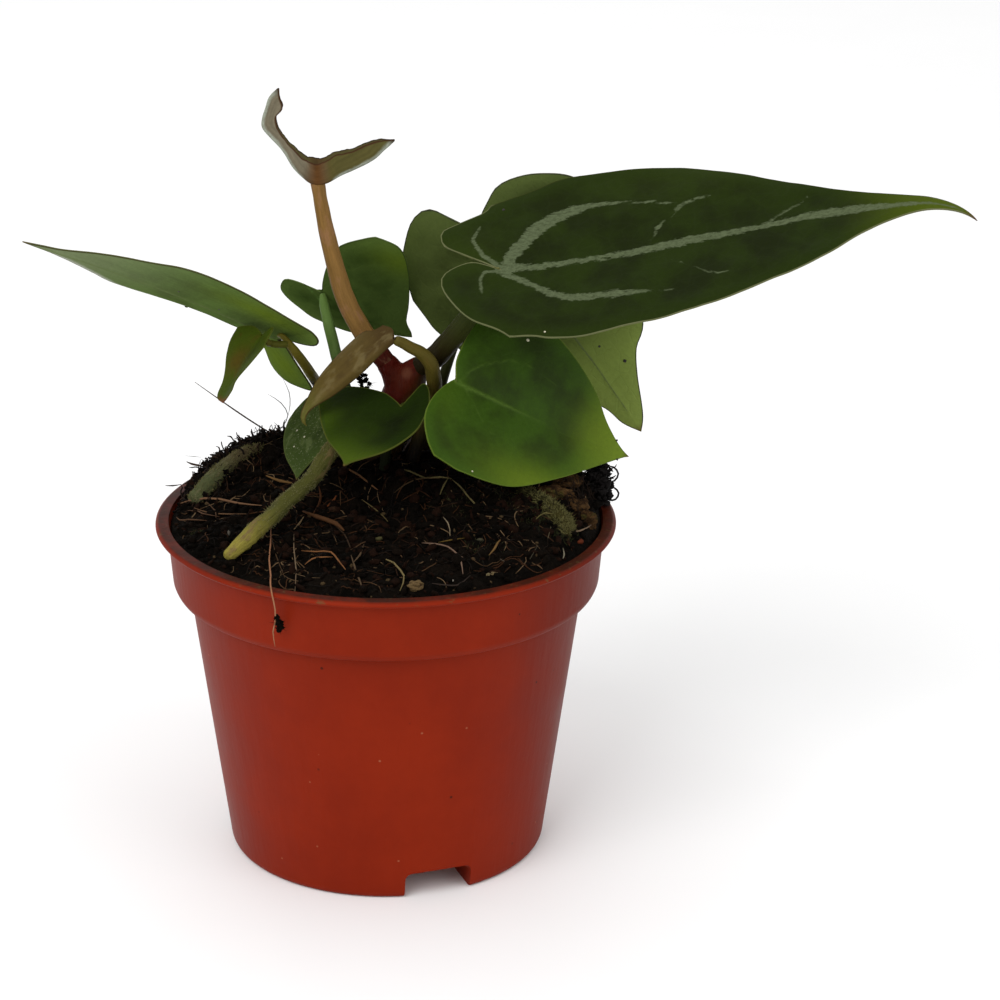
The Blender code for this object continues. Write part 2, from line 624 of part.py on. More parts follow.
def pocket_block(name: str, azimuth: float, grow: float) -> bpy.types.Object:
    """Wedge-topped block of one drain pocket, grown by grow millimetres as a cutter."""
    half = POCKET_WIDTH / 2.0 + grow
    low = -2.0
    inner = POCKET_INNER_RADIUS - grow
    outer = BASE_RADIUS + 6.0
    brow = BASE_RADIUS - 2.2
    top = POCKET_HEIGHT + grow
    side_profile = ((inner, low), (outer, low), (outer, top + POCKET_LIP * 1.8), (brow, top), (inner, top))
    corner = 1.6
    turn = Matrix.Rotation(math.radians(azimuth), 3, "Z")
    vertices = []
    for reach, height in side_profile:
        for y in (-half, half):
            vertices.append(turn @ Vector((reach, y, height)))
    count = len(side_profile)
    faces = [tuple(index * 2 for index in range(count)), tuple(index * 2 + 1 for index in reversed(range(count)))]
    for index in range(count):
        after = (index + 1) % count
        faces.append((index * 2, after * 2, after * 2 + 1, index * 2 + 1))
    block = add_piece(name, mesh_from(name, vertices, faces), None)
    work = bmesh.new()
    work.from_mesh(block.data)
    bmesh.ops.dissolve_limit(work, angle_limit=math.radians(1.0), verts=work.verts, edges=work.edges)
    upper = [edge for edge in work.edges if edge.is_manifold and abs(edge.calc_face_angle()) > 0.5
             and min(vertex.co.z for vertex in edge.verts) > (top - 0.5) * MM
             and all(abs(abs((turn.transposed() @ vertex.co).y) - half * MM) < 1e-6 for vertex in edge.verts)
             and (edge.verts[0].co - edge.verts[1].co).length > 1.0 * MM]
    long_edges = [edge for edge in upper
                  if abs((turn.transposed() @ edge.verts[0].co).y - (turn.transposed() @ edge.verts[1].co).y) < 1e-6]
    bmesh.ops.bevel(work, geom=long_edges, offset=corner * MM, segments=2, profile=0.5, affect="EDGES")
    bmesh.ops.triangulate(work, faces=work.faces)
    work.to_mesh(block.data)
    work.free()
    return block


def drain_slot(name: str, azimuth: float) -> bpy.types.Object:
    """Slot through the roof of a drain pocket, as a cutter."""
    length, width = DRAIN_SLOT
    turn = Matrix.Rotation(math.radians(azimuth), 3, "Z")
    vertices = []
    for height in (POCKET_HEIGHT - 1.0, POCKET_HEIGHT + 3.0):
        for x, y in ((-width / 2, -length / 2), (width / 2, -length / 2), (width / 2, length / 2), (-width / 2, length / 2)):
            vertices.append(turn @ Vector((DRAIN_SLOT_RADIUS + x, y, height)))
    faces = [(0, 1, 2, 3), (4, 5, 6, 7), (0, 1, 5, 4), (1, 2, 6, 5), (2, 3, 7, 6), (3, 0, 4, 7)]
    return add_piece(name, mesh_from(name, vertices, faces), None)


def build_pot() -> None:
    """Thin-walled pot with its band, lip, flat foot and three drain pockets."""
    band_foot = BAND_FOOT_HEIGHT
    lip_foot = POT_HEIGHT - LIP_DEPTH
    outer = [
        (0.0, 0.0), (POCKET_INNER_RADIUS - 2.0, 0.0), (BASE_RADIUS - 1.5, 0.0), (BASE_RADIUS - 0.4, 0.4),
        (BASE_RADIUS + 0.1, 1.5), (BODY_TOP_RADIUS, band_foot - 0.6), (BODY_TOP_RADIUS + 0.6, band_foot),
        (BAND_FOOT_RADIUS - 2.2, band_foot), (BAND_FOOT_RADIUS - 0.7, band_foot + 0.7), (BAND_FOOT_RADIUS, band_foot + 2.2),
        (BAND_TOP_RADIUS, lip_foot - 0.8), (BAND_TOP_RADIUS + 0.8, lip_foot - 0.1), (LIP_RADIUS - 0.7, lip_foot + 0.1),
        (LIP_RADIUS, lip_foot + 0.8), (LIP_RADIUS - 0.1, POT_HEIGHT - 0.6), (LIP_RADIUS - 0.8, POT_HEIGHT),
        (0.0, POT_HEIGHT),
    ]
    pot = add_piece("pot", spun_mesh("pot", outer, POT_SIDES), POT_FINISH)
    inner = [(0.0, FLOOR_THICKNESS)] + pot_inner_profile()
    inner += [(BAND_TOP_RADIUS - POT_WALL + 1.5, POT_HEIGHT + 2.0), (0.0, POT_HEIGHT + 2.0)]
    cavity = add_piece("pot cavity", spun_mesh("pot cavity", inner, POT_SIDES), None)
    for number, azimuth in enumerate(POCKET_AZIMUTHS, 1):
        cut(cavity, pocket_block(f"pocket shell {number}", azimuth, POT_WALL))
        cut(pot, pocket_block(f"pocket {number}", azimuth, 0.0))
    cut(pot, cavity)
    for number, azimuth in enumerate(POCKET_AZIMUTHS, 1):
        cut(pot, drain_slot(f"drain slot {number}", azimuth))


def soil_mesh() -> bpy.types.Mesh:
    """Soil filling the pot, with its lumpy top."""
    sides = POT_SIDES
    wall = [
        (radius - CLEARANCE, height + CLEARANCE)
        for radius, height in pot_inner_profile()
        if height < POT_HEIGHT - 4.0
    ]
    floor = FLOOR_THICKNESS + CLEARANCE
    vertices = [Vector((0.0, 0.0, floor))]
    for radius, height in wall:
        for side in range(sides):
            angle = TURN * side / sides
            vertices.append(Vector((radius * math.cos(angle), radius * math.sin(angle), height)))
    for ring in range(SOIL_RINGS):
        share = 1.0 - ring / SOIL_RINGS
        radius = soil_radius(SOIL_EDGE_HEIGHT) * share ** 0.9
        for side in range(sides):
            angle = TURN * side / sides
            x = radius * math.cos(angle)
            y = radius * math.sin(angle)
            vertices.append(Vector((x, y, soil_height(x, y))))
    vertices.append(Vector((0.0, 0.0, soil_height(0.0, 0.0))))
    rings = len(wall) + SOIL_RINGS
    faces = []
    top = len(vertices) - 1
    for side in range(sides):
        beside = (side + 1) % sides
        faces.append((0, 1 + side, 1 + beside))
        for ring in range(rings - 1):
            here = 1 + ring * sides
            faces.append((here + side, here + beside, here + sides + beside, here + sides + side))
        rim = 1 + (rings - 1) * sides
        faces.append((top, rim + side, rim + beside))
    return mesh_from("soil", vertices, faces)


def build_crown() -> tuple[bpy.types.Object, bpy.types.Object]:
    """Red stem base with its left branch and right knob, and a grown copy to cut with."""
    made = []
    for grow, name, finish in ((0.0, "crown", CROWN_FINISH), (CLEARANCE, "crown room", None)):
        trunk = add_piece(name, tube_mesh(name, CROWN_TRUNK, CROWN_TRUNK_RADII, grow, 14), finish)
        left = add_piece(name + " left", tube_mesh(name + " left", CROWN_LEFT, CROWN_LEFT_RADII, grow, 10), None)
        knob = add_piece(name + " knob", tube_mesh(name + " knob", CROWN_KNOB, CROWN_KNOB_RADII, grow, 10), None)
        join(trunk, left)
        join(trunk, knob)
        made.append(trunk)
    return made[0], made[1]


def stalk_route(stalk: Stalk, blade: Blade) -> tuple[list, list]:
    """Stations and radii of a stalk up to its blade."""
    if stalk.meets is Meeting.OWN:
        return list(stalk.points), list(stalk.radii)
    way = blade.pose().col[2]
    radius = stalk.end_radius
    junction = Vector(blade.junction)
    surface = blade.thickness / 2.0 + CLEARANCE
    turn_in = junction - way * (surface + radius * 2.2)
    stop = junction - way * (surface + radius * 0.8)
    return list(stalk.points) + [tuple(turn_in), tuple(stop)], list(stalk.radii) + [radius * 1.1, radius]


def build_stalks(crown_room: bpy.types.Object, soil: bpy.types.Object) -> None:
    """Leaf stalks, trimmed clear of the crown or standing in a plain hole in the soil."""
    for stalk in STALKS:
        points, radii = stalk_route(stalk, next(blade for blade in BLADES if blade.name == stalk.blade))
        piece = add_piece(stalk.name, tube_mesh(stalk.name, points, radii), stalk.finish)
        foot = points[0][2]
        if foot < 100.0:
            room = tube_mesh(stalk.name + " room", points[:4], radii[:4], CLEARANCE)
            cut(soil, add_piece(stalk.name + " room", room, None))
        elif stalk.name != "stalk_small_curled":
            cut(piece, crown_room)


def build_roots(crown_room: bpy.types.Object, soil: bpy.types.Object) -> None:
    """Aerial roots, lying in troughs in the soil."""
    for name, (finish, points, radii) in ROOTS.items():
        piece = add_piece(name, tube_mesh(name, points, radii), finish)
        cut(soil, add_piece(name + " room", tube_mesh(name + " room", points, radii, CLEARANCE), None))
        if name == "root_front":
            cut(piece, crown_room)


def chunk_mesh(name: str, centre: tuple, size: tuple, turn: float, grow: float) -> bpy.types.Mesh:
    """Faceted lump of bark or grit."""
    work = bmesh.new()
    bmesh.ops.create_icosphere(work, subdivisions=2, radius=0.5)
    spin = Matrix.Rotation(math.radians(turn), 3, "Z")
    for vertex in work.verts:
        swell = 1.0 + 0.25 * noise.noise(vertex.co * 3.0 + Vector(centre))
        shaped = Vector((vertex.co.x * (size[0] + 2 * grow), vertex.co.y * (size[1] + 2 * grow),
                         vertex.co.z * (size[2] + 2 * grow)))
        vertex.co = (spin @ (shaped * swell) + Vector(centre)) * MM
    mesh = bpy.data.meshes.new(name)
    work.to_mesh(mesh)
    work.free()
    return mesh


def build_chunks(soil: bpy.types.Object) -> None:
    """Bark and grit pieces, each half sunk in its own hollow in the soil."""
    for name, (centre, size, turn, finish) in CHUNKS.items():
        add_piece(name, chunk_mesh(name, centre, size, turn, 0.0), finish)
        cut(soil, add_piece(name + " room", chunk_mesh(name, centre, size, turn, CLEARANCE), None))


def build_blades() -> None:
    """Every leaf blade."""
    for blade in BLADES:
        add_piece(blade.name, blade_mesh(blade), blade.finish)


def build_sheath() -> None:
    """Dry scale leaf left at the foot of the stem."""
    radii = (0.5, 0.9, 1.0, 0.9, 0.6)
    add_piece("sheath_dry", tube_mesh("sheath_dry", SHEATH_PATH, radii, sides=6), SHEATH_FINISH)


def main() -> None:
    """Build the whole part."""
    clear_scene()
    build_pot()
    soil = add_piece("soil", soil_mesh(), SOIL_FINISH)
    for number, azimuth in enumerate(POCKET_AZIMUTHS, 1):
        cut(soil, pocket_block(f"pocket room {number}", azimuth, POT_WALL + CLEARANCE))
    _, crown_room = build_crown()
    cut(soil, crown_room)
    build_stalks(crown_room, soil)
    build_roots(crown_room, soil)
    build_chunks(soil)
    build_blades()
    build_sheath()


main()
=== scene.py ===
"""Looks of the potted anthurium.

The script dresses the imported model. It puts finer pieces of the same form in the place of the plain
solids, and adds veins, hairs, moss, fibres and crumbs of soil. Lengths in the tables are millimetres,
angles are degrees, and the photographed side faces -Y.
"""

import logging
import math
from dataclasses import dataclass, field
from enum import Enum
from functools import lru_cache

import bmesh
import bpy
import numpy as np
from mathutils import Matrix, Vector, noise


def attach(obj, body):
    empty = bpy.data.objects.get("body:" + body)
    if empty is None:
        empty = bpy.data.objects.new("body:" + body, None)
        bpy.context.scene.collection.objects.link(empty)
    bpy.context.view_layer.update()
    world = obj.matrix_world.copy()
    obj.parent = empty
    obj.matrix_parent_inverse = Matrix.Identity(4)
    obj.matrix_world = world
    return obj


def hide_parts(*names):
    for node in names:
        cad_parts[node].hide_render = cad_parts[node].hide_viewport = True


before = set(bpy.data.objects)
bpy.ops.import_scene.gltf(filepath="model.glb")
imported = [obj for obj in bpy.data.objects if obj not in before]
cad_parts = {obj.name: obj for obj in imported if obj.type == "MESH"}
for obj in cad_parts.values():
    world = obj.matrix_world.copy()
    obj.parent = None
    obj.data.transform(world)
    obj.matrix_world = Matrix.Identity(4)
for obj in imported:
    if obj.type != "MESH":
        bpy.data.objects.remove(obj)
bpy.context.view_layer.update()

LOG = logging.getLogger("anthurium")
MM = 0.001
TURN = 2.0 * math.pi
BODY = "root"

Colour = tuple[float, float, float]
Spot = tuple[float, float]
Place = tuple[float, float, float]


def tone(text: str) -> Colour:
    """Linear colour of a hex tone such as 7a5233.

    Args:
        text: Six hex digits, red, green and blue.

    Returns:
        Red, green and blue from 0 to 1, linear.
    """
    shares = [int(text[index:index + 2], 16) / 255.0 for index in (0, 2, 4)]
    red, green, blue = (share / 12.92 if share <= 0.04045 else ((share + 0.055) / 1.055) ** 2.4
                        for share in shares)
    return red, green, blue


class Graph:
    """Node tree of one material, written as calls. Lengths are millimetres."""

    def __init__(self, name: str) -> None:
        """Start a material with a Principled shader.

        Args:
            name: Name of the material.
        """
        self.material = bpy.data.materials.new(name)
        self.material.use_nodes = True
        self.tree = self.material.node_tree
        self.shader = self.tree.nodes["Principled BSDF"]

    def put(self, socket: bpy.types.NodeSocket, value: object) -> None:
        """Link a socket to an input, or set its constant.

        Args:
            socket: The input.
            value: A socket, a number, a colour or a vector.
        """
        if isinstance(value, bpy.types.NodeSocket):
            self.tree.links.new(value, socket)
        elif socket.type == "RGBA":
            socket.default_value = (*value, 1.0)
        else:
            socket.default_value = value

    def node(self, kind: str, inputs: dict, **settings: object) -> bpy.types.Node:
        """Add a node.

        Args:
            kind: Type name of the node.
            inputs: Value or socket for each input, by name or number.
            settings: Properties of the node.

        Returns:
            The node.
        """
        made = self.tree.nodes.new(kind)
        for key, value in settings.items():
            setattr(made, key, value)
        for key, value in inputs.items():
            self.put(made.inputs[key], value)
        return made

    def mark(self, name: str) -> bpy.types.NodeSocket:
        """Number that each vertex carries under a name."""
        return self.node("ShaderNodeAttribute", {}, attribute_name=name).outputs["Fac"]

    def spot(self, stretch: Place = (1.0, 1.0, 1.0)) -> bpy.types.NodeSocket:
        """Place on the piece's own surface, stretched along its axes."""
        source = self.node("ShaderNodeAttribute", {}, attribute_name="spot").outputs["Vector"]
        return self.node("ShaderNodeVectorMath", {0: source, 1: stretch}, operation="MULTIPLY").outputs[0]

    def room(self, stretch: Place = (1.0, 1.0, 1.0)) -> bpy.types.NodeSocket:
        """Place in the object's space in millimetres, stretched along its axes.

        Args:
            stretch: Factor along each axis.

        Returns:
            The place as a vector.
        """
        source = self.node("ShaderNodeTexCoord", {}).outputs["Object"]
        factor = tuple(value / MM for value in stretch)
        return self.node("ShaderNodeVectorMath", {0: source, 1: factor}, operation="MULTIPLY").outputs[0]

    def part(self, vector: bpy.types.NodeSocket, axis: str) -> bpy.types.NodeSocket:
        """One coordinate of a vector."""
        return self.node("ShaderNodeSeparateXYZ", {0: vector}).outputs[axis]

    def noise(self, vector: bpy.types.NodeSocket, scale: float, detail: float = 3.0,
              roughness: float = 0.55) -> bpy.types.NodeSocket:
        """Cloudy pattern from 0 to 1 with about one cloud per 1 / scale millimetres."""
        inputs = {"Vector": vector, "Scale": scale, "Detail": detail, "Roughness": roughness}
        return self.node("ShaderNodeTexNoise", inputs).outputs["Fac"]

    def cells(self, vector: bpy.types.NodeSocket, scale: float,
              edges: bool = True) -> bpy.types.NodeSocket:
        """Distance to the borders, or to the middles, of irregular cells.

        Args:
            vector: Place to read.
            scale: Cells to a millimetre.
            edges: Whether the distance runs to the borders.

        Returns:
            The distance, in cell sizes.
        """
        feature = "DISTANCE_TO_EDGE" if edges else "F1"
        made = self.node("ShaderNodeTexVoronoi", {"Vector": vector, "Scale": scale}, feature=feature)
        return made.outputs["Distance"]

    def math(self, operation: str, a: object, b: object = 0.0) -> bpy.types.NodeSocket:
        """Arithmetic on two numbers."""
        return self.node("ShaderNodeMath", {0: a, 1: b}, operation=operation).outputs[0]

    def times(self, a: object, b: object) -> bpy.types.NodeSocket:
        """Product of two numbers."""
        return self.math("MULTIPLY", a, b)

    def plus(self, a: object, b: object) -> bpy.types.NodeSocket:
        """Sum of two numbers."""
        return self.math("ADD", a, b)

    def minus(self, a: object, b: object) -> bpy.types.NodeSocket:
        """Difference of two numbers."""
        return self.math("SUBTRACT", a, b)

    def band(self, value: object, low: float, high: float, start: float = 0.0,
             end: float = 1.0) -> bpy.types.NodeSocket:
        """Smooth step of a value.

        Args:
            value: The number to follow.
            low: Value where the result is start.
            high: Value where the result is end; it may be below low.
            start: Result at low.
            end: Result at high.

        Returns:
            The stepped number.
        """
        if low > high:
            low, high, start, end = high, low, end, start
        inputs = {"Value": value, "From Min": low, "From Max": high, "To Min": start, "To Max": end}
        return self.node("ShaderNodeMapRange", inputs, interpolation_type="SMOOTHSTEP").outputs["Result"]

    def mix(self, factor: object, a: object, b: object, blend: str = "MIX") -> bpy.types.NodeSocket:
        """Blend of two colours."""
        made = self.node("ShaderNodeMix", {0: factor, 6: a, 7: b}, data_type="RGBA", blend_type=blend)
        return made.outputs[2]

    def tint(self, mask: object, colour: object, shade: str) -> bpy.types.NodeSocket:
        """Colour with a hex tone laid over it where a mask says."""
        return self.mix(mask, colour, tone(shade))

    def shade(self, colour: object, value: object, low: float, high: float) -> bpy.types.NodeSocket:
        """Colour made darker or lighter by a value from 0 to 1, between two factors.

        Args:
            colour: The colour to change.
            value: The number to follow.
            low: Factor at 0.
            high: Factor at 1.

        Returns:
            The changed colour.
        """
        span = {"Value": value, "To Min": low, "To Max": high}
        factor = self.node("ShaderNodeMapRange", span).outputs["Result"]
        grey = self.node("ShaderNodeCombineColor", {0: factor, 1: factor, 2: factor}).outputs[0]
        return self.mix(1.0, colour, grey, "MULTIPLY")

    def bump(self, height: object, depth: float, normal: object = None) -> bpy.types.NodeSocket:
        """Normal of a surface raised by height times depth millimetres.

        Args:
            height: Number from 0 to 1.
            depth: Millimetres at 1.
            normal: A normal to start from, or none for the surface's own.

        Returns:
            The new normal.
        """
        inputs = {"Height": height, "Distance": depth * MM, "Strength": 1.0}
        if normal is not None:
            inputs["Normal"] = normal
        return self.node("ShaderNodeBump", inputs).outputs[0]

    def finish(self, colour: object, roughness: object, normal: object = None,
               **constants: object) -> bpy.types.Material:
        """Connect the shader.

        Args:
            colour: Base colour.
            roughness: Roughness.
            normal: Bumped normal, if any.
            constants: Further shader inputs, with _ for each space of their names.

        Returns:
            The finished material.
        """
        self.put(self.shader.inputs["Base Color"], colour)
        self.put(self.shader.inputs["Roughness"], roughness)
        if normal is not None:
            self.put(self.shader.inputs["Normal"], normal)
        for key, value in constants.items():
            self.put(self.shader.inputs[key.replace("_", " ")], value)
        return self.material


@dataclass
class Shape:
    """Growing mesh in millimetres with marks carried by its vertices."""

    points: list = field(default_factory=list)
    faces: list = field(default_factory=list)
    slots: list = field(default_factory=list)
    marks: dict = field(default_factory=dict)
    spots: list = field(default_factory=list)

    def add(self, points: list, faces: list, slot: int = 0, spots: list | None = None,
            **marks: object) -> None:
        """Add a patch of surface.

        Args:
            points: Vertices.
            faces: Vertex numbers of each face.
            slot: Material number of the faces.
            spots: Surface place of each vertex; the vertex itself if left out.
            marks: Numbers for the vertices, one each or one for all.
        """
        base = len(self.points)
        self.points.extend(tuple(point) for point in points)
        self.faces.extend(tuple(index + base for index in face) for face in faces)
        self.slots.extend([slot] * len(faces))
        self.spots.extend(tuple(spot) for spot in (spots if spots is not None else points))
        for name, values in marks.items():
            line = self.marks.setdefault(name, [])
            line.extend(values if hasattr(values, "__len__") else [values] * len(points))

    def make(self, name: str, materials: list, slot: str, *nodes: str,
             sharp: float | None = None) -> bpy.types.Object:
        """Turn the shape into a piece of the object.

        Args:
            name: Name of the piece.
            materials: Its materials in slot order.
            slot: Slot of the record, passed on to settle.
            nodes: CAD nodes that it stands for.
            sharp: Angle over which an edge stays sharp.

        Returns:
            The piece, riding on the body.
        """
        mesh = bpy.data.meshes.new(name)
        mesh.from_pydata((np.array(self.points, dtype=float) * MM).tolist(), [], self.faces)
        for made in materials:
            mesh.materials.append(made)
        mesh.polygons.foreach_set("material_index", np.array(self.slots, dtype=np.int32))
        for mark, values in self.marks.items():
            layer = mesh.attributes.new(mark, "FLOAT", "POINT")
            layer.data.foreach_set("value", np.array(values, dtype=np.float32))
        layer = mesh.attributes.new("spot", "FLOAT_VECTOR", "POINT")
        layer.data.foreach_set("vector", np.array(self.spots, dtype=np.float32).ravel())
        return settle(name, mesh, slot, *nodes, sharp=sharp)


def settle(name: str, mesh: bpy.types.Mesh, slot: str, *nodes: str,
           sharp: float | None = None) -> bpy.types.Object:
    """Make a mesh a piece that rides on the body.

    Args:
        name: Name of the piece.
        mesh: Its mesh, in metres.
        slot: Not used.
        nodes: CAD nodes that it stands for.
        sharp: Angle over which an edge stays sharp.

    Returns:
        The piece.
    """
    mesh.shade_smooth()
    if sharp is not None:
        mesh.set_sharp_from_angle(angle=math.radians(sharp))
    piece = bpy.data.objects.new(name, mesh)
    bpy.context.scene.collection.objects.link(piece)
    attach(piece, BODY)
    if nodes:
        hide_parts(*nodes)
    LOG.info("%s: %d faces", name, len(mesh.polygons))
    return piece


class Dice:
    """Repeatable chance."""

    def __init__(self, seed: int) -> None:
        """Start from a seed."""
        self.source = np.random.default_rng(seed)

    def between(self, low: float, high: float) -> float:
        """Number between two limits."""
        return float(self.source.uniform(low, high))

    def way(self) -> Vector:
        """Direction in space."""
        return Vector(self.source.normal(size=3)).normalized()


def smooth_path(points: tuple, radii: tuple, steps: int) -> list[tuple[Vector, float]]:
    """Smooth line through stations, without overshoot where they lie close.

    Args:
        points: Stations.
        radii: Radius at each station.
        steps: Steps between two stations.

    Returns:
        Places and radii along the line.
    """
    knots = [Vector(point) for point in points]
    runs = [far - near for near, far in zip(knots, knots[1:])]
    ways = [run.normalized() for run in runs]
    slopes = [ways[0]]
    for index in range(1, len(runs)):
        before = runs[index - 1].length
        after = runs[index].length
        slopes.append((ways[index - 1] * after + ways[index] * before) / (before + after))
    slopes.append(ways[-1])
    made = []
    for index, run in enumerate(runs):
        start = slopes[index] * run.length
        end = slopes[index + 1] * run.length
        for step in range(steps):
            t = step / steps
            place = knots[index] * (2 * t ** 3 - 3 * t ** 2 + 1)
            place += knots[index + 1] * (3 * t ** 2 - 2 * t ** 3)
            place += start * (t ** 3 - 2 * t ** 2 + t) + end * (t ** 3 - t ** 2)
            made.append((place, radii[index] + (radii[index + 1] - radii[index]) * t))
    made.append((knots[-1], radii[-1]))
    return made


def wall_faces(rings: int, sides: int) -> list[tuple[int, ...]]:
    """Faces of the wall between rings of points, counted from the foot.

    Args:
        rings: Number of rings.
        sides: Points in each ring.

    Returns:
        Faces as point numbers, seen from outside.
    """
    faces = []
    for ring in range(rings - 1):
        for side in range(sides):
            here = ring * sides + side
            beside = ring * sides + (side + 1) % sides
            faces.append((here, beside, beside + sides, here + sides))
    return faces


def end_faces(rings: int, sides: int) -> tuple[tuple[int, ...], tuple[int, ...]]:
    """Faces that close the foot and the head of a stack of rings."""
    return tuple(reversed(range(sides))), tuple(range((rings - 1) * sides, rings * sides))


@dataclass(frozen=True)
class Tube:
    """Round stem along stations, with domed ends and a slightly uneven skin."""

    points: tuple
    radii: tuple
    sides: int = 18
    steps: int = 8
    uneven: float = 0.05
    grain: float = 4.0
    seed: float = 1.0
    flat: float = 1.0

    def rings(self) -> list[tuple[Vector, float]]:
        """Places and radii along the stem with its domed ends.

        Returns:
            The rings from foot to head.
        """
        line = smooth_path(self.points, self.radii, self.steps)
        start_way = (line[0][0] - line[1][0]).normalized()
        end_way = (line[-1][0] - line[-2][0]).normalized()
        first, last = line[0], line[-1]
        head = [(first[0] + start_way * first[1] * lift, first[1] * wide)
                for lift, wide in ((0.62, 0.12), (0.52, 0.55), (0.3, 0.86))]
        tail = [(last[0] + end_way * last[1] * lift, last[1] * wide)
                for lift, wide in ((0.3, 0.86), (0.52, 0.55), (0.62, 0.12))]
        return head + line + tail

    def frames(self) -> list[tuple[Vector, float, Vector, Vector, float]]:
        """Place, radius, two side directions and travelled length of each ring.

        Returns:
            One row for each ring.
        """
        rings = self.rings()
        normal = (rings[0][0] - rings[3][0]).orthogonal().normalized()
        made = []
        travelled = 0.0
        for index, (place, radius) in enumerate(rings):
            ahead = rings[min(index + 1, len(rings) - 1)][0]
            behind = rings[max(index - 1, 0)][0]
            way = (ahead - behind).normalized()
            normal = (normal - way * normal.dot(way)).normalized()
            if index:
                travelled += (place - rings[index - 1][0]).length
            made.append((place, radius, normal.copy(), way.cross(normal), travelled))
        return made

    def fill(self, shape: Shape, slot: int = 0, **marks: float) -> None:
        """Add the stem to a shape.

        Args:
            shape: The shape that grows.
            slot: Material number.
            marks: Further numbers, the same for all its vertices.
        """
        frames = self.frames()
        total = frames[-1][4]
        points, spots, along = [], [], []
        for place, radius, normal, across, travelled in frames:
            for side in range(self.sides):
                angle = TURN * side / self.sides
                spot = Vector((math.cos(angle) * 1.3, math.sin(angle) * 1.3 + self.seed * 5.0,
                               travelled / self.grain))
                swell = 1.0 + self.uneven * noise.noise(spot)
                ring = normal * math.cos(angle) + across * (math.sin(angle) * self.flat)
                points.append(place + ring * (radius * swell))
                spots.append((travelled, radius * math.cos(angle) + self.seed * 9.0,
                              radius * math.sin(angle)))
                along.append(travelled / total)
        foot, head = end_faces(len(frames), self.sides)
        faces = wall_faces(len(frames), self.sides) + [foot, head]
        shape.add(points, faces, slot, spots, along=along, **marks)

    def surface(self, share: float, angle: float) -> tuple[Vector, Vector]:
        """Point on the skin and the direction outward there.

        Args:
            share: Share of the way along the stem.
            angle: Angle round it, in radians.

        Returns:
            The point and the direction.
        """
        frames = self.frames_kept()
        index = min(int(share * (len(frames) - 1)), len(frames) - 2)
        part = share * (len(frames) - 1) - index
        place = frames[index][0].lerp(frames[index + 1][0], part)
        radius = frames[index][1] + (frames[index + 1][1] - frames[index][1]) * part
        outward = frames[index][2] * math.cos(angle) + frames[index][3] * math.sin(angle)
        return place + outward * radius * 0.98, outward

    @lru_cache(maxsize=None)
    def frames_kept(self) -> tuple:
        """Frames of the rings, worked out once."""
        return tuple(self.frames())


def add_hair(shape: Shape, foot: Vector, way: Vector, length: float, radius: float, bend: Vector,
             **marks: float) -> None:
    """Add one bent three-sided hair that ends in a point.

    Args:
        shape: The shape that grows.
        foot: Where the hair stands.
        way: Direction it starts in.
        length: Its length.
        radius: Its radius at the foot.
        bend: Direction it bends to.
        marks: Further numbers, the same for all its vertices.
    """
    side = way.orthogonal().normalized()
    across = way.cross(side)
    middle = foot + way * (length * 0.55) + bend * (length * 0.12)
    tip = foot + way * length * 0.95 + bend * (length * 0.42)
    ring = [side * math.cos(TURN * k / 3) + across * math.sin(TURN * k / 3) for k in range(3)]
    points = [foot + way_out * radius for way_out in ring]
    points += [middle + way_out * radius * 0.6 for way_out in ring]
    points.append(tip)
    faces = [(k, (k + 1) % 3, (k + 1) % 3 + 3, k + 3) for k in range(3)]
    faces += [(k + 3, (k + 1) % 3 + 3, 6) for k in range(3)]
    shape.add(points, faces, **marks)


def ball(detail: int) -> tuple[list[Vector], list[tuple[int, ...]]]:
    """Vertices and faces of a ball of radius one.

    Args:
        detail: Number of times the twenty faces are divided.

    Returns:
        Points and triangles.
    """
    work = bmesh.new()
    bmesh.ops.create_icosphere(work, subdivisions=detail, radius=1.0)
    points = [vertex.co.copy() for vertex in work.verts]
    faces = [tuple(vertex.index for vertex in face.verts) for face in work.faces]
    work.free()
    return points, faces


BALLS = {detail: ball(detail) for detail in (1, 2, 3, 5)}


def add_lump(shape: Shape, centre: Vector, size: Place, turn: Matrix, detail: int, rough: float,
             seed: float, **marks: float) -> None:
    """Add one broken, uneven lump.

    Args:
        shape: The shape that grows.
        centre: Middle of the lump.
        size: Half sizes along its axes.
        turn: How it lies.
        detail: Fineness of its faces.
        rough: Share of its size by which the skin goes in and out.
        seed: Choice among lumps.
        marks: Further numbers, the same for all its vertices.
    """
    points, faces = BALLS[detail]
    made = []
    for point in points:
        swell = 1.0 + rough * noise.noise(point * 1.7 + Vector((seed * 3.7, seed, 0.0)))
        if detail > 2:
            swell += rough * 0.35 * noise.noise(point * 5.1 + Vector((0.0, seed * 2.3, seed)))
            swell += rough * 0.15 * noise.noise(point * 13.0 + Vector((seed, 0.0, seed * 1.9)))
        grown = Vector((point.x * size[0], point.y * size[1], point.z * size[2]))
        made.append(centre + turn @ grown * swell)
    shape.add(made, faces, **marks)


def upright_turn(degrees: float) -> Matrix:
    """Turn about the upright axis."""
    return Matrix.Rotation(math.radians(degrees), 3, "Z")


def any_turn(dice: Dice) -> Matrix:
    """Turn to a chance direction."""
    return Matrix.Rotation(dice.between(0.0, TURN), 3, dice.way())


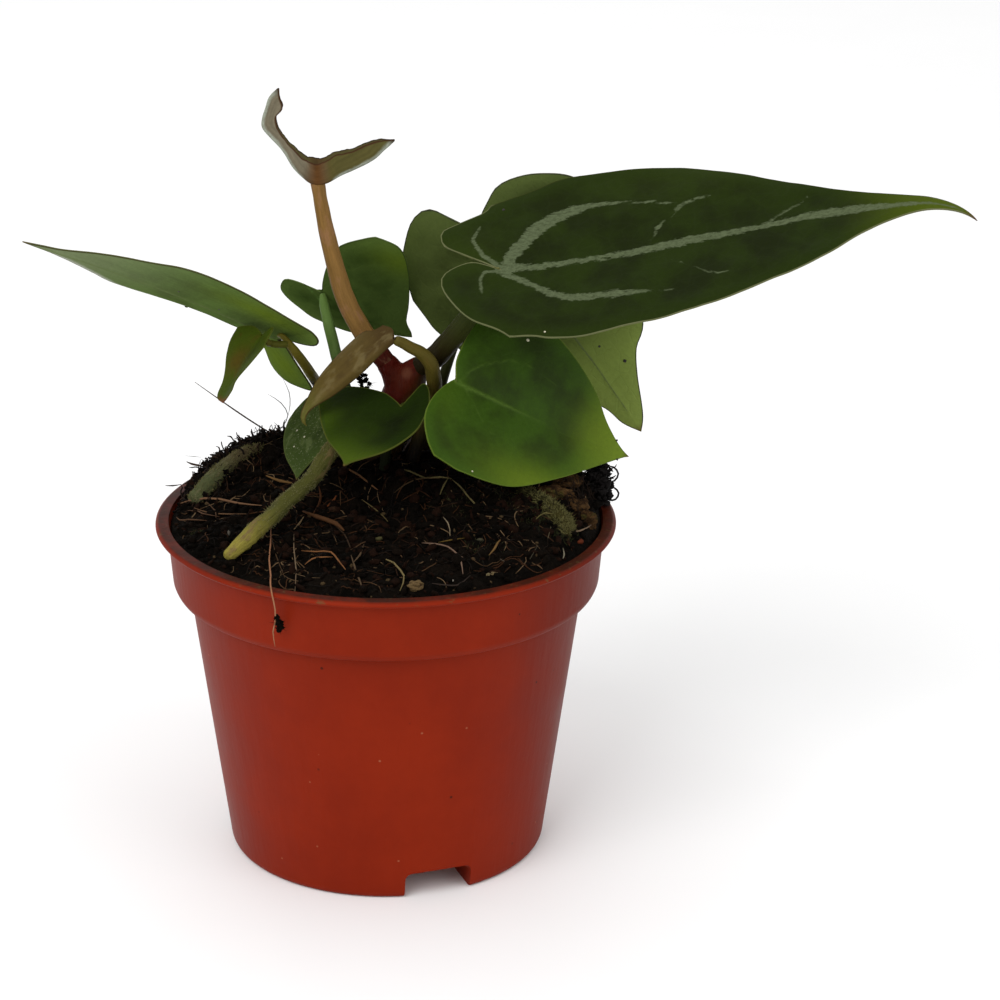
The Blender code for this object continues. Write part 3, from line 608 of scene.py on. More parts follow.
# Flat outlines of half a blade, from the junction round the basal lobe to the tip
HEART = (
    (0, 0), (-0.5, 0.07), (-0.93, 0.27), (-1, 0.52), (-0.7, 0.82), (0, 0.98), (0.16, 1), (0.38, 0.87),
    (0.62, 0.58), (0.82, 0.25), (0.93, 0.08), (1, 0),
)
LARGE_UPPER = (
    (0, 0), (-0.2, 0.1), (-0.44, 0.21), (-0.79, 0.39), (-0.82, 0.48), (-0.79, 0.57), (-0.5, 0.64),
    (-0.09, 0.73), (0.07, 0.88), (0.17, 0.98), (0.35, 0.94), (0.48, 0.76), (0.63, 0.47), (0.77, 0.22),
    (0.9, 0.08), (1, 0),
)
LARGE_LOWER = (
    (0, 0), (-0.25, -0.1), (-0.5, -0.15), (-0.88, -0.07), (-0.97, 0.09), (-0.81, 0.37), (-0.56, 0.59),
    (-0.16, 0.78), (0.03, 0.91), (0.08, 0.98), (0.14, 1.03), (0.19, 1.03), (0.26, 1), (0.35, 0.96),
    (0.45, 0.87), (0.65, 0.56), (0.75, 0.3), (0.84, 0.13), (0.94, 0.04), (1, 0),
)
BROAD_LEFT = (
    (0, 0), (-0.3, 0.09), (-0.56, 0.16), (-0.97, 0.27), (-1, 0.47), (-0.75, 0.71), (-0.58, 0.81),
    (-0.19, 0.95), (0.07, 1.02), (0.19, 1.03), (0.38, 0.9), (0.62, 0.56), (0.82, 0.2), (0.93, 0.11),
    (1, 0),
)
BROAD_RIGHT = (
    (0, 0), (-0.3, 0.01), (-0.61, 0.03), (-0.83, 0.19), (-1, 0.39), (-0.83, 0.65), (-0.48, 0.86),
    (-0.17, 0.98), (0.12, 1.02), (0.38, 0.9), (0.61, 0.64), (0.69, 0.43), (0.79, 0.28), (0.94, 0.11),
    (1, 0),
)
FRONT_UPPER = (
    (0, 0), (-0.31, 0.05), (-1.14, 0.19), (-1.14, 0.37), (-0.86, 0.54), (-0.4, 0.74), (0, 0.89),
    (0.16, 0.95), (0.47, 0.75), (0.7, 0.48), (0.82, 0.24), (0.93, 0.07), (1, 0),
)
FRONT_LOWER = (
    (0, 0), (-0.31, 0.02), (-0.97, 0.27), (-1.18, 0.55), (-0.65, 0.8), (0.05, 0.96), (0.13, 0.98),
    (0.39, 0.88), (0.63, 0.55), (0.8, 0.28), (0.9, 0.13), (0.97, 0.03), (1, 0),
)
MIDDLE_LEFT = (
    (0, 0), (-0.22, 0.04), (-0.72, 0.12), (-1.06, 0.3), (-0.94, 0.62), (-0.61, 0.81), (0.05, 0.95),
    (0.28, 0.86), (0.54, 0.65), (0.68, 0.4), (0.82, 0.16), (0.95, 0.04), (1, 0),
)
MIDDLE_RIGHT = (
    (0, 0), (-0.5, 0.12), (-1.1, 0.36), (-1.38, 0.65), (-0.5, 0.91), (0.09, 1.02), (0.3, 0.98),
    (0.49, 0.77), (0.63, 0.56), (0.75, 0.35), (0.84, 0.16), (0.96, 0.05), (1, 0),
)
LONG_UPPER = (
    (0, 0), (-0.2, 0.13), (-0.47, 0.32), (-0.67, 0.6), (-0.5, 0.74), (0.01, 0.76), (0.17, 0.82),
    (0.32, 0.89), (0.48, 0.86), (0.65, 0.54), (0.78, 0.31), (0.87, 0.12), (0.93, 0.06), (1, 0),
)
LONG_LOWER = (
    (0, 0), (-0.24, 0.03), (-0.81, 0.13), (-0.9, 0.29), (-0.79, 0.78), (-0.55, 0.89), (-0.21, 0.7),
    (0.02, 0.66), (0.18, 0.63), (0.3, 0.64), (0.43, 0.72), (0.53, 0.76), (0.66, 0.5), (0.78, 0.26),
    (0.87, 0.1), (0.93, 0.04), (1, 0),
)
LOW_LEFT = (
    (0, 0), (-0.4, 0.12), (-0.88, 0.37), (-0.75, 0.74), (0.03, 1.05), (0.34, 0.88), (0.64, 0.53),
    (0.81, 0.23), (0.92, 0.07), (1, 0),
)
LOW_RIGHT = (
    (0, 0), (-0.56, 0.04), (-1.19, 0.1), (-1.06, 0.33), (-0.55, 0.62), (0.03, 0.86), (0.34, 1),
    (0.66, 0.71), (0.9, 0.14), (0.97, 0.05), (1, 0),
)
NOTCHED = (
    (0, 0), (-0.5, 0.08), (-1, 0.4), (-0.6, 0.7), (0.05, 0.85), (0.2, 1.25), (0.46, 0.75), (0.66, 0.14),
    (0.76, 0.26), (0.85, 0.44), (0.94, 0.3), (1, 0),
)
BLUNT = (
    (0, 0), (-0.5, 0.1), (-1, 0.45), (-0.6, 0.75), (0.05, 0.95), (0.32, 0.82), (0.55, 0.54), (0.72, 0.4),
    (0.88, 0.37), (0.96, 0.26), (1, 0),
)
ROLLED_EDGE = (
    (0, 0), (-0.5, 0.1), (-1, 0.2), (-0.5, 0.3), (0, 0.36), (0.14, 0.42), (0.38, 0.77), (0.62, 0.58),
    (0.75, 0.25), (0.84, 0.1), (0.94, 0.05), (1, 0),
)
ROLLED = (
    (0, 0), (-0.5, 0.08), (-1.08, 0.23), (-0.6, 0.38), (0.02, 0.52), (0.16, 0.84), (0.34, 0.85),
    (0.53, 0.73), (0.68, 0.55), (0.85, 0.23), (0.94, 0.12), (1, 0),
)

LOBE_CREASE = 3.0
TIP_START = 0.8
FOLD_SOFTNESS = 1.1
OUTLINE_STEPS = 12
SPINE_STEPS = 32
LOBE_ROWS = 26
ROW_STEP = 1.15
COLUMN_STEP = 1.1
MARGIN_SHARE = 0.45
MARGIN_REACH = 2.2
RIB_WIDTH = 0.85


def smooth_outline(outline: tuple) -> list[Vector]:
    """Close points on a smooth curve through an outline's stations.

    Args:
        outline: Stations as shares of the length and of the half width.

    Returns:
        The curve's points, the last station included.
    """
    knots = [Vector((x, y)) for x, y in outline]
    fine = []
    for index in range(len(knots) - 1):
        before = knots[max(index - 1, 0)]
        start = knots[index]
        end = knots[index + 1]
        after = knots[min(index + 2, len(knots) - 1)]
        for step in range(OUTLINE_STEPS):
            t = step / OUTLINE_STEPS
            pull = (end - before) * t + (2 * before - 5 * start + 4 * end - after) * t * t
            pull += (3 * start - before - 3 * end + after) * t * t * t
            fine.append(start + pull * 0.5)
    fine.append(knots[-1])
    return fine


def evenly_spaced(points: list[Vector], count: int) -> list[Vector]:
    """Points at equal steps along a line of close points, both ends included.

    Args:
        points: The line.
        count: Number of points wanted.

    Returns:
        The new points.
    """
    travelled = [0.0]
    for near, far in zip(points, points[1:]):
        travelled.append(travelled[-1] + (far - near).length)
    spaced = []
    index = 0
    for number in range(count):
        wanted = travelled[-1] * number / (count - 1)
        while index < len(points) - 2 and travelled[index + 1] < wanted:
            index += 1
        stretch = travelled[index + 1] - travelled[index]
        spaced.append(points[index].lerp(points[index + 1], (wanted - travelled[index]) / stretch))
    return spaced


def margin_stations(outline: tuple, lobe_rows: int, rows: int) -> list[Vector]:
    """Margin points: evenly round the lobe, then along the midrib, closer near the tip.

    Args:
        outline: Half a blade's outline.
        lobe_rows: Rows behind the junction.
        rows: Rows from the junction to the tip.

    Returns:
        Points as shares of the length and of the half width.
    """
    fine = smooth_outline(outline)
    last = max(index for index, point in enumerate(fine[:-1]) if point.x <= 1e-9)
    near = fine[last]
    far = fine[last + 1]
    share = (0.0 - near.x) / (far.x - near.x)
    level = near.lerp(far, share)
    stations = evenly_spaced(fine[:last + 1] + ([level] if share > 1e-6 else []), lobe_rows + 1)
    stations[-1].x = 0.0
    ahead = [level] + fine[last + 1:]
    index = 0
    for number in range(1, rows + 1):
        wanted = number / rows
        while index < len(ahead) - 2 and ahead[index + 1].x < wanted:
            index += 1
        share = (wanted - ahead[index].x) / (ahead[index + 1].x - ahead[index].x)
        width = ahead[index].y + (ahead[index + 1].y - ahead[index].y) * share
        stations.append(Vector((wanted, 0.0 if number == rows else max(width, 0.0))))
    return stations


def line_distance(spots: np.ndarray, line: tuple) -> tuple[np.ndarray, np.ndarray]:
    """Distance of flat spots to a line of stations, less the line's own half width there.

    Args:
        spots: Places along and across the blade, one row each.
        line: Stations as along, across and half width.

    Returns:
        The distance of each spot, below zero inside the line, and the half width of the line beside it.
    """
    best = np.full(len(spots), 1e3)
    breadth = np.zeros(len(spots))
    for near, far in zip(line, line[1:]):
        start = np.array(near[:2], dtype=float)
        run = np.array(far[:2], dtype=float) - start
        share = np.clip(((spots - start) @ run) / max(run @ run, 1e-9), 0.0, 1.0)
        away = np.hypot(*(spots - start - share[:, None] * run).T)
        width = near[2] + (far[2] - near[2]) * share
        nearer = away - width < best
        best = np.where(nearer, away - width, best)
        breadth = np.where(nearer, width, breadth)
    return best, breadth


def sheet_normals(places: np.ndarray, corners: np.ndarray) -> np.ndarray:
    """Upward direction at each point of a sheet of triangles.

    Args:
        places: Points, one row each.
        corners: Triangles, one row each.

    Returns:
        Unit directions, one row for each point.
    """
    first, second, third = (places[corners[:, column]] for column in range(3))
    facing = np.cross(second - first, third - first)
    normals = np.zeros_like(places)
    for column in range(3):
        np.add.at(normals, corners[:, column], facing)
    return normals / np.maximum(np.linalg.norm(normals, axis=1), 1e-12)[:, None]


def margin_taper(rim: np.ndarray, thickness: float) -> np.ndarray:
    """Half thickness of a blade at a distance from its margin."""
    return (thickness / 2.0) * (MARGIN_SHARE + (1.0 - MARGIN_SHARE) * np.clip(rim / MARGIN_REACH, 0.0, 1.0))


def close_sheet(shape: Shape, upper: np.ndarray, lower: np.ndarray, triangles: list, spots: list,
                marks: dict) -> None:
    """Add a thin blade: top skin, back skin and the wall round its margin.

    Args:
        shape: The shape that grows.
        upper: Points of the top skin.
        lower: Points of the back skin.
        triangles: Triangles of the sheet, seen from above.
        spots: Place of each point on the flat blade.
        marks: Numbers for the points.
    """
    shape.add(upper, triangles, Side.TOP.value, spots, **marks)
    shape.add(lower, [(c, b, a) for a, b, c in triangles], Side.BACK.value, spots, **marks)
    edges = set()
    for a, b, c in triangles:
        edges.update(((a, b), (b, c), (c, a)))
    count = len(upper)
    walls = [(far, near, near + count, far + count) for near, far in edges if (far, near) not in edges]
    shape.faces.extend(walls)
    shape.slots.extend([Side.TOP.value] * len(walls))


@dataclass(frozen=True)
class BladeFinish:
    """Skin of one side of a leaf blade."""

    name: str
    deep: str
    bright: str
    vein: str
    rim: str
    tip: str = "5a4a28"
    glow: str = "5c7a24"
    net: float = 0.25
    ragged: float = 0.7
    soft: float = 0.25
    rim_width: float = 0.45
    margin_highlight_reach: float = 7.0
    roughness: float = 0.5
    gloss: float = 0.04
    stripes: float = 0.0
    far: str = ""
    far_span: Spot = (0, 1)
    rim_far: str = ""
    blotch: float = 0.0
    blotch_tone: str = "8a7348"
    fringe: str = "a9a98f"
    fringe_side: float = 0.0
    fringe_span: Spot = (24, 38)
    specks: float = 0.0

    def material(self) -> bpy.types.Material:
        """Build the skin.

        Returns:
            The material, driven by the marks of the blade's vertices.
        """
        g = Graph(self.name)
        spot = g.spot()
        broad = g.noise(spot, 0.07, 3.0)
        fine = g.noise(spot, 0.9, 4.0, 0.65)
        colour = g.mix(g.band(broad, 0.35, 0.65), tone(self.deep), tone(self.bright))
        # Painted highlight: the bright tone grows within this reach of the margin
        colour = g.tint(g.band(g.mark("rim"), self.margin_highlight_reach, 0.5), colour, self.bright)
        if self.far:
            colour = g.tint(g.band(g.part(spot, "X"), *self.far_span), colour, self.far)
        # Painted light: where the glow mark is high, green glow tones lay light shining through the thin
        # blade and soft highlights
        colour = g.tint(g.mark("glow"), colour, self.glow)
        if self.blotch > 0.0:
            patch = g.band(g.noise(g.spot((0.5, 1.0, 1.0)), 0.28, 3.0, 0.6), 0.52, 0.66, 0.0, self.blotch)
            colour = g.tint(patch, colour, self.blotch_tone)
        if self.stripes > 0.0:
            lines = g.noise(g.spot((0.05, 1.0, 1.0)), 0.9, 3.0, 0.6)
            colour = g.shade(colour, lines, 1.0 - self.stripes, 1.0 + self.stripes)
        colour = g.shade(colour, fine, 0.80, 1.20)
        cell = g.cells(g.spot((0.8, 1.0, 1.0)), 0.30)
        net = g.band(cell, 0.09, 0.0, 0.0, self.net)
        colour = g.mix(net, colour, g.mix(0.35, colour, tone(self.vein)))
        streak = g.noise(g.spot((0.40, 1.0, 1.0)), 1.0, 5.0, 0.75)
        fray = g.times(g.band(g.mark("breadth"), 0.1, 1.2, 0.35, 1.0), self.ragged * 3.4)
        edge = g.plus(g.mark("vein"), g.times(g.minus(streak, 0.5), fray))
        grain = g.noise(g.spot((0.5, 1.0, 1.0)), 1.5, 4.0, 0.75)
        silver = g.times(g.band(edge, self.soft, -self.soft), g.band(grain, 0.30, 0.60, 0.55, 1.0))
        colour = g.mix(silver, colour, g.shade(tone(self.vein), grain, 0.70, 1.30))
        if self.fringe_side:
            across = g.times(g.part(spot, "Y"), self.fringe_side)
            fold = g.plus(g.mark("rim"), g.times(g.minus(streak, 0.5), 3.0))
            share = g.times(g.band(across, 0.3, 2.0), g.band(fold, 3.5, 1.0, 0.0, 0.85))
            share = g.times(share, g.band(g.part(spot, "X"), *self.fringe_span))
            colour = g.tint(share, colour, self.fringe)
        if self.specks > 0.0:
            dots = g.band(g.noise(spot, 1.7, 3.0, 0.6), 0.60, 0.68, 0.0, self.specks)
            colour = g.tint(dots, colour, self.fringe)
        wobble = g.plus(g.mark("rim"), g.times(g.minus(broad, 0.5), 0.35))
        rim = tone(self.rim)
        if self.rim_far:
            upper = g.times(g.band(g.part(spot, "Y"), 1.0, 4.0), g.band(g.part(spot, "X"), -1.0, 2.0))
            rim = g.mix(upper, rim, tone(self.rim_far))
        colour = g.mix(g.band(wobble, self.rim_width, self.rim_width * 0.35), colour, rim)
        colour = g.tint(g.mark("tip"), colour, self.tip)
        height = g.plus(g.times(silver, 0.30), g.times(net, -1.0))
        height = g.plus(height, g.times(fine, 0.30))
        rough = g.band(fine, 0.2, 0.8, self.roughness - 0.06, self.roughness + 0.10)
        return g.finish(colour, rough, g.bump(height, 0.22), Specular_IOR_Level=self.gloss)


class Side(Enum):
    """The two faces of a blade."""

    TOP = 0
    BACK = 1


@dataclass(frozen=True)
class Blade:
    """One leaf blade: its place, turn, bends, outline, veins and skins."""

    name: str
    slot: str
    top: BladeFinish
    back: BladeFinish
    junction: Place
    azimuth: float
    elevation: float
    roll: float
    length: float
    half_widths: Spot
    lobes: Spot
    folds: Spot
    bend: float = 0.0
    sway: float = 0.0
    twist: float = 0.0
    curl: float = 0.0
    lobe_lift: float = 0.0
    tip_bend: float = 0.0
    tip_sway: float = 0.0
    thickness: float = 0.7
    outlines: tuple = (HEART, HEART)
    veins: tuple = ()
    # Glow spots: along, across, reach along, reach across and strength; on the green blades they paint light
    # through the blade and soft highlights
    glows: tuple = ()
    crumbs: tuple = ()
    wave: float = 0.25
    rib: float = 0.45
    tip_share: float = 0.035
    seed: float = 1.0

    def turn(self, u: float) -> Spot:
        """Droop and sideways angle of the midrib at u millimetres from the junction.

        Args:
            u: Millimetres along the spine.

        Returns:
            Both angles in radians.
        """
        share = u / self.length
        tip = max(0.0, (share - TIP_START) / (1.0 - TIP_START)) ** 2
        droop = self.bend * share + self.tip_bend * tip
        aside = self.sway * share + self.tip_sway * tip
        return math.radians(droop), math.radians(aside)

    @lru_cache(maxsize=None)
    def frame(self, u: float) -> tuple[Vector, Vector, Vector]:
        """Spine point, leftward and upward directions at u, which is negative in the lobes.

        Args:
            u: Millimetres along the spine.

        Returns:
            The point and both directions in the blade's own frame.
        """
        if u < 0.0:
            back = -u
            lift = math.radians(self.lobe_lift) * (1.0 - math.exp(-back / LOBE_CREASE))
            point = Vector((-math.cos(lift), 0.0, math.sin(lift))) * back
            return point, Vector((0.0, 1.0, 0.0)), Vector((math.sin(lift), 0.0, math.cos(lift)))
        point = Vector((0.0, 0.0, 0.0))
        for step in range(SPINE_STEPS):
            droop, aside = self.turn(u * (step + 0.5) / SPINE_STEPS)
            level = math.cos(droop)
            heading = Vector((math.cos(aside) * level, math.sin(aside) * level, -math.sin(droop)))
            point += heading * (u / SPINE_STEPS)
        droop, aside = self.turn(u)
        left = Vector((-math.sin(aside), math.cos(aside), 0.0))
        steep = math.sin(droop)
        up = Vector((math.cos(aside) * steep, math.sin(aside) * steep, math.cos(droop)))
        spin = math.radians(self.twist) * u / self.length
        turned_left = left * math.cos(spin) + up * math.sin(spin)
        turned_up = up * math.cos(spin) - left * math.sin(spin)
        return point, turned_left, turned_up

    @lru_cache(maxsize=None)
    def pose(self) -> Matrix:
        """Turn from the blade's own frame to the world.

        Returns:
            The matrix whose columns are forward, left and up.
        """
        azimuth = math.radians(self.azimuth)
        elevation = math.radians(self.elevation)
        roll = math.radians(self.roll)
        level = math.cos(elevation)
        forward = Vector((level * math.cos(azimuth), level * math.sin(azimuth), math.sin(elevation)))
        left = Vector((-math.sin(azimuth), math.cos(azimuth), 0.0))
        up = forward.cross(left)
        rolled_left = left * math.cos(roll) + up * math.sin(roll)
        rolled_up = up * math.cos(roll) - left * math.sin(roll)
        return Matrix((forward, rolled_left, rolled_up)).transposed()

    def point(self, u: float, w: float, side: int, lift: float = 0.0) -> Vector:
        """World place of the spot u along and w across on one side, lifted along the spine's up.

        Args:
            u: Millimetres along the spine.
            w: Millimetres across, never negative.
            side: 1 on the left, -1 on the right.
            lift: Millimetres above the middle surface.

        Returns:
            The place in millimetres.
        """
        index = 0 if side > 0 else 1
        spine, left, up = self.frame(u)
        fold = math.radians(self.folds[index])
        rate = math.radians(self.curl) / self.half_widths[index]
        soft = math.hypot(w, FOLD_SOFTNESS) - FOLD_SOFTNESS
        if abs(rate) > 1e-9:
            across = (math.sin(fold + rate * w) - math.sin(fold)) / rate
            rise = (math.cos(fold) - math.cos(fold + rate * w)) / rate
        else:
            across = w * math.cos(fold)
            rise = soft * math.sin(fold)
        own = spine + left * (side * across) + up * (rise + lift)
        return Vector(self.junction) + self.pose() @ own

    def ripple(self, u: float, w: float) -> float:
        """Height of the gentle unevenness of the blade at a spot.

        Args:
            u: Millimetres along the spine.
            w: Millimetres across, negative on the right.

        Returns:
            The height in millimetres.
        """
        away = min(1.0, abs(w) / 6.0)
        broad = noise.noise(Vector((u / 11.0 + self.seed * 3.0, w / 9.0, self.seed)))
        fine = noise.noise(Vector((u / 4.0, w / 4.0 + self.seed * 5.0, self.seed)))
        return (broad + 0.25 * fine) * self.wave * away

    def sheet(self) -> tuple[list, list, list, list]:
        """Middle surface: points, flat spots, distances to the margin and triangles.

        Returns:
            Four lists: three with a row for each point, and the triangles.
        """
        points, spots, rims, triangles = [], [], [], []
        known = {}
        rows = max(30, int(self.length / ROW_STEP))

        def place(u: float, w: float, side: int) -> int:
            """Number of the point at a spot, made once where rows share it.

            Args:
                u: Millimetres along the spine.
                w: Millimetres across, never negative.
                side: 1 on the left, -1 on the right.

            Returns:
                The point's number.
            """
            spot = self.point(u, w, side, self.ripple(u, w * side))
            key = tuple(round(value, 4) for value in spot)
            if key not in known:
                known[key] = len(points)
                points.append(spot)
                spots.append((u, w * side, 0.0))
                rims.append(1e3)
            return known[key]

        for side in (1, -1):
            index = 0 if side > 0 else 1
            columns = max(10, int(self.half_widths[index] / COLUMN_STEP))
            grid = []
            margin = []
            for x, y in margin_stations(self.outlines[index], LOBE_ROWS, rows):
                margin_u = x * (self.lobes[index] if x < 0.0 else self.length)
                margin_w = y * self.half_widths[index]
                margin.append((margin_u, margin_w * side, 0.0))
                spine_u = max(margin_u, 0.0)
                row = []
                for column in range(columns + 1):
                    t = column / columns
                    share = 0.45 * t + 0.55 * math.sin(t * math.pi / 2)
                    row.append(place(spine_u + (margin_u - spine_u) * share, margin_w * share, side))
                grid.append(row)
            used = sorted({number for row in grid for number in row})
            away, _ = line_distance(np.array([spots[number][:2] for number in used]), tuple(margin))
            for number, distance in zip(used, away):
                rims[number] = min(rims[number], max(0.0, float(distance)))
            for low, high in zip(grid, grid[1:]):
                for column in range(columns):
                    ring = (low[column], low[column + 1], high[column + 1], high[column])
                    for corners in ((ring[0], ring[1], ring[2]), (ring[0], ring[2], ring[3])):
                        if len(set(corners)) == 3:
                            triangles.append(corners[::-1] if side > 0 else corners)
        return points, spots, rims, triangles

    def vein_distance(self, spots: list) -> tuple[np.ndarray, np.ndarray]:
        """Distance of each spot to the nearest vein's edge, and that vein's half width.

        Args:
            spots: Flat places, one for each point.

        Returns:
            Distances, below zero inside a vein, and half widths.
        """
        flat = np.array([spot[:2] for spot in spots], dtype=float)
        best = np.full(len(flat), 50.0)
        breadth = np.zeros(len(flat))
        for vein in self.veins:
            away, width = line_distance(flat, vein)
            breadth = np.where(away < best, width, breadth)
            best = np.minimum(best, away)
        return best, breadth

    def glow_share(self, spots: list) -> np.ndarray:
        """Share of the glow colour at each spot; on the green blades it is painted light.

        Args:
            spots: Flat places, one for each point.

        Returns:
            Shares from 0 to 1.
        """
        flat = np.array([spot[:2] for spot in spots], dtype=float)
        total = np.zeros(len(flat))
        for u, w, reach_u, reach_w, strength in self.glows:
            away = ((flat[:, 0] - u) / reach_u) ** 2 + ((flat[:, 1] - w) / reach_w) ** 2
            total += strength * np.exp(-away)
        return np.clip(total, 0.0, 1.0)

    def build(self) -> bpy.types.Object:
        """Build the blade in the place of its CAD node.

        Returns:
            The piece, with its top skin, back skin and thin margin.
        """
        points, spots, rims, triangles = self.sheet()
        places = np.array([tuple(point) for point in points])
        corners = np.array(triangles)
        normals = sheet_normals(places, corners)
        flat = np.array(spots)
        rim = np.array(rims)
        half = margin_taper(rim, self.thickness)
        share = np.clip(flat[:, 0] / self.length, 0.0, 1.0)
        ridge = np.exp(-(flat[:, 1] / RIB_WIDTH) ** 2)
        rib = self.rib * ridge * (1.0 - share) ** 0.7 * (flat[:, 0] > -1.0)
        vein, breadth = self.vein_distance(spots)
        glow = self.glow_share(spots)
        tip = np.clip((share - 1.0 + self.tip_share) / self.tip_share, 0.0, 1.0)
        shape = Shape()
        marks = {"vein": vein, "breadth": breadth, "rim": rim, "glow": glow, "tip": tip}
        upper = places + normals * half[:, None]
        lower = places - normals * (half + rib)[:, None]
        close_sheet(shape, upper, lower, triangles, spots, marks)
        self.add_crumbs(shape)
        skins = [self.top.material(), self.back.material(), CRUMB_SKIN.material()]
        return shape.make(self.name + "_skin", skins, self.slot, self.name, sharp=50.0)

    def add_crumbs(self, shape: Shape) -> None:
        """Lay small crumbs on the blade: along, across, size, dark or pale, and face.

        Args:
            shape: The shape that grows.
        """
        for number, (u, w, size, pale, face) in enumerate(self.crumbs):
            side = 1 if w >= 0.0 else -1
            here = self.point(u, abs(w), side, self.ripple(u, w))
            ahead = self.point(u + 0.5, abs(w), side, self.ripple(u, w))
            aside = self.point(u, abs(w) + 0.5, side, self.ripple(u, w))
            normal = (ahead - here).cross(aside - here).normalized() * side
            if face is Side.BACK:
                normal = -normal
            centre = here + normal * (self.thickness * 0.5)
            points, faces = BALLS[2]
            turn = normal.to_track_quat("Z", "Y").to_matrix()
            lump = []
            for point in points:
                swell = size * (1.0 + 0.35 * noise.noise(point * 1.9 + Vector((number * 3.3, u, w))))
                grown = Vector((point.x * swell, point.y * swell, point.z * swell * 0.45))
                lump.append(centre + turn @ grown)
            shape.add(lump, faces, 2, None, vein=50.0, breadth=0.0, rim=pale, glow=0.0, tip=0.0)


@dataclass(frozen=True)
class CrumbFinish:
    """Skin of the crumbs and specks that lie on leaves; the rim mark says how pale one is."""

    dark: str = "1c1710"
    pale: str = "b9b49a"

    def material(self) -> bpy.types.Material:
        """Build the skin, or return the one already built.

        Returns:
            The material.
        """
        found = bpy.data.materials.get("leaf_crumb")
        if found is not None:
            return found
        g = Graph("leaf_crumb")
        colour = g.mix(g.mark("rim"), tone(self.dark), tone(self.pale))
        grain = g.noise(g.room(), 2.0, 3.0)
        return g.finish(g.shade(colour, grain, 0.6, 1.4), 0.8, g.bump(grain, 0.2))


CRUMB_SKIN = CrumbFinish()

VELVET = BladeFinish(
    "leaf_velvet_top", "171e06", "1e2907", "50593f", "5d6040", tip="4a2c18", glow="2c380e", net=0.05,
    ragged=1.0, roughness=0.55, gloss=0.03, margin_highlight_reach=6.0, rim_width=0.35, far="424f0e",
    far_span=(84, 116), rim_far="2e3412",
)
VELVET_BACK = BladeFinish(
    "leaf_velvet_back", "364222", "48542c", "5d6743", "626238", tip="563b22", net=0.3, roughness=0.6,
)
BROAD_BACK = BladeFinish(
    "leaf_broad_back", "363f1c", "4b572a", "5b663f", "303525", glow="5c6935", net=0.14, rim_width=0.35,
    roughness=0.55, stripes=0.06, far="7a8b42", far_span=(24, 48),
)
BROAD_TOP = BladeFinish("leaf_broad_top", "1a2310", "273814", "4a5834", "535032", net=0.2)
# The glow and far tones of this skin paint light shining through the lower margin and the tip
BRIGHT_TOP = BladeFinish(
    "leaf_bright_top", "22300b", "2d440d", "42581e", "4e601e", tip="4d3719", glow="5a6c16", net=0.1,
    ragged=0.3, soft=0.6, rim_width=0.3, roughness=0.42, gloss=0.06, far="627620", far_span=(32, 54),
    margin_highlight_reach=5.0,
)
BRIGHT_BACK = BladeFinish(
    "leaf_bright_back", "3b4c23", "4a5c2c", "626d3e", "57642f", net=0.2, roughness=0.6,
)
LONG_BACK = BladeFinish(
    "leaf_long_back", "49582e", "566b36", "606e42", "302e1c", tip="4a4426", glow="5f7222", net=0.12,
    stripes=0.18, ragged=0.5, soft=0.7, rim_width=0.45, roughness=0.48, gloss=0.0, far="727d5b",
    far_span=(24, 76), fringe="a2a696", fringe_side=-1.0, fringe_span=(30, 44),
)
LONG_TOP = BladeFinish("leaf_long_top", "1f2c0e", "2f4011", "435028", "4a4c29", net=0.12)
MIDDLE_BACK = BladeFinish(
    "leaf_middle_back", "384a1f", "4c602c", "5d7e3c", "374621", glow="5a6e21", net=0.1, soft=0.5,
    ragged=0.3, rim_width=0.3, roughness=0.5, gloss=0.0,
)
MIDDLE_TOP = BladeFinish("leaf_middle_top", "28391c", "38541f", "5d753c", "516030", net=0.12)
LOW_TOP = BladeFinish(
    "leaf_low_top", "0f1604", "182504", "2e3b14", "444a1a", glow="3a4c0e", net=0.14, ragged=0.5, soft=0.5,
    rim_width=0.38, roughness=0.5, gloss=0.02, far="405010", far_span=(15, 28),
)
LOW_BACK = BladeFinish("leaf_low_underside", "2e3a20", "3d4c29", "535c38", "4a5326", net=0.2)
GREY_TOP = BladeFinish(
    "leaf_grey_top", "253010", "33401a", "4f592f", "444e26", net=0.22, ragged=0.9, roughness=0.6,
    gloss=0.02, blotch=0.45, blotch_tone="56603a", fringe="767d5e", specks=0.75,
)
AGED_TOP = BladeFinish(
    "leaf_aged_top", "2c360b", "38460e", "4c541d", "404814", tip="683823", glow="503814", net=0.12,
    blotch=0.4, blotch_tone="473713", roughness=0.45,
)
YOUNG_TOP = BladeFinish(
    "leaf_young_top", "3c2e16", "4f411f", "64502c", "3a2c15", tip="5f5926", glow="30200e", net=0.0,
    stripes=0.2, blotch=0.5, blotch_tone="665a3a", roughness=0.5, far="505022", far_span=(20, 33),
)
CHANNEL_TOP = BladeFinish(
    "leaf_channel_inside", "40361f", "4a4426", "5c5338", "2f2417", tip="37291d", glow="4a3a20", net=0.0,
    stripes=0.16, rim_width=0.35, roughness=0.5,
)
CHANNEL_BACK = BladeFinish(
    "leaf_channel_outside", "4e4638", "665f4e", "8b9082", "3c2718", tip="35271b", glow="50351b", net=0.0,
    stripes=0.42, ragged=0.6, soft=0.7, rim_width=0.55, roughness=0.5, far="4c4726", far_span=(34, 40),
    gloss=0.02,
)

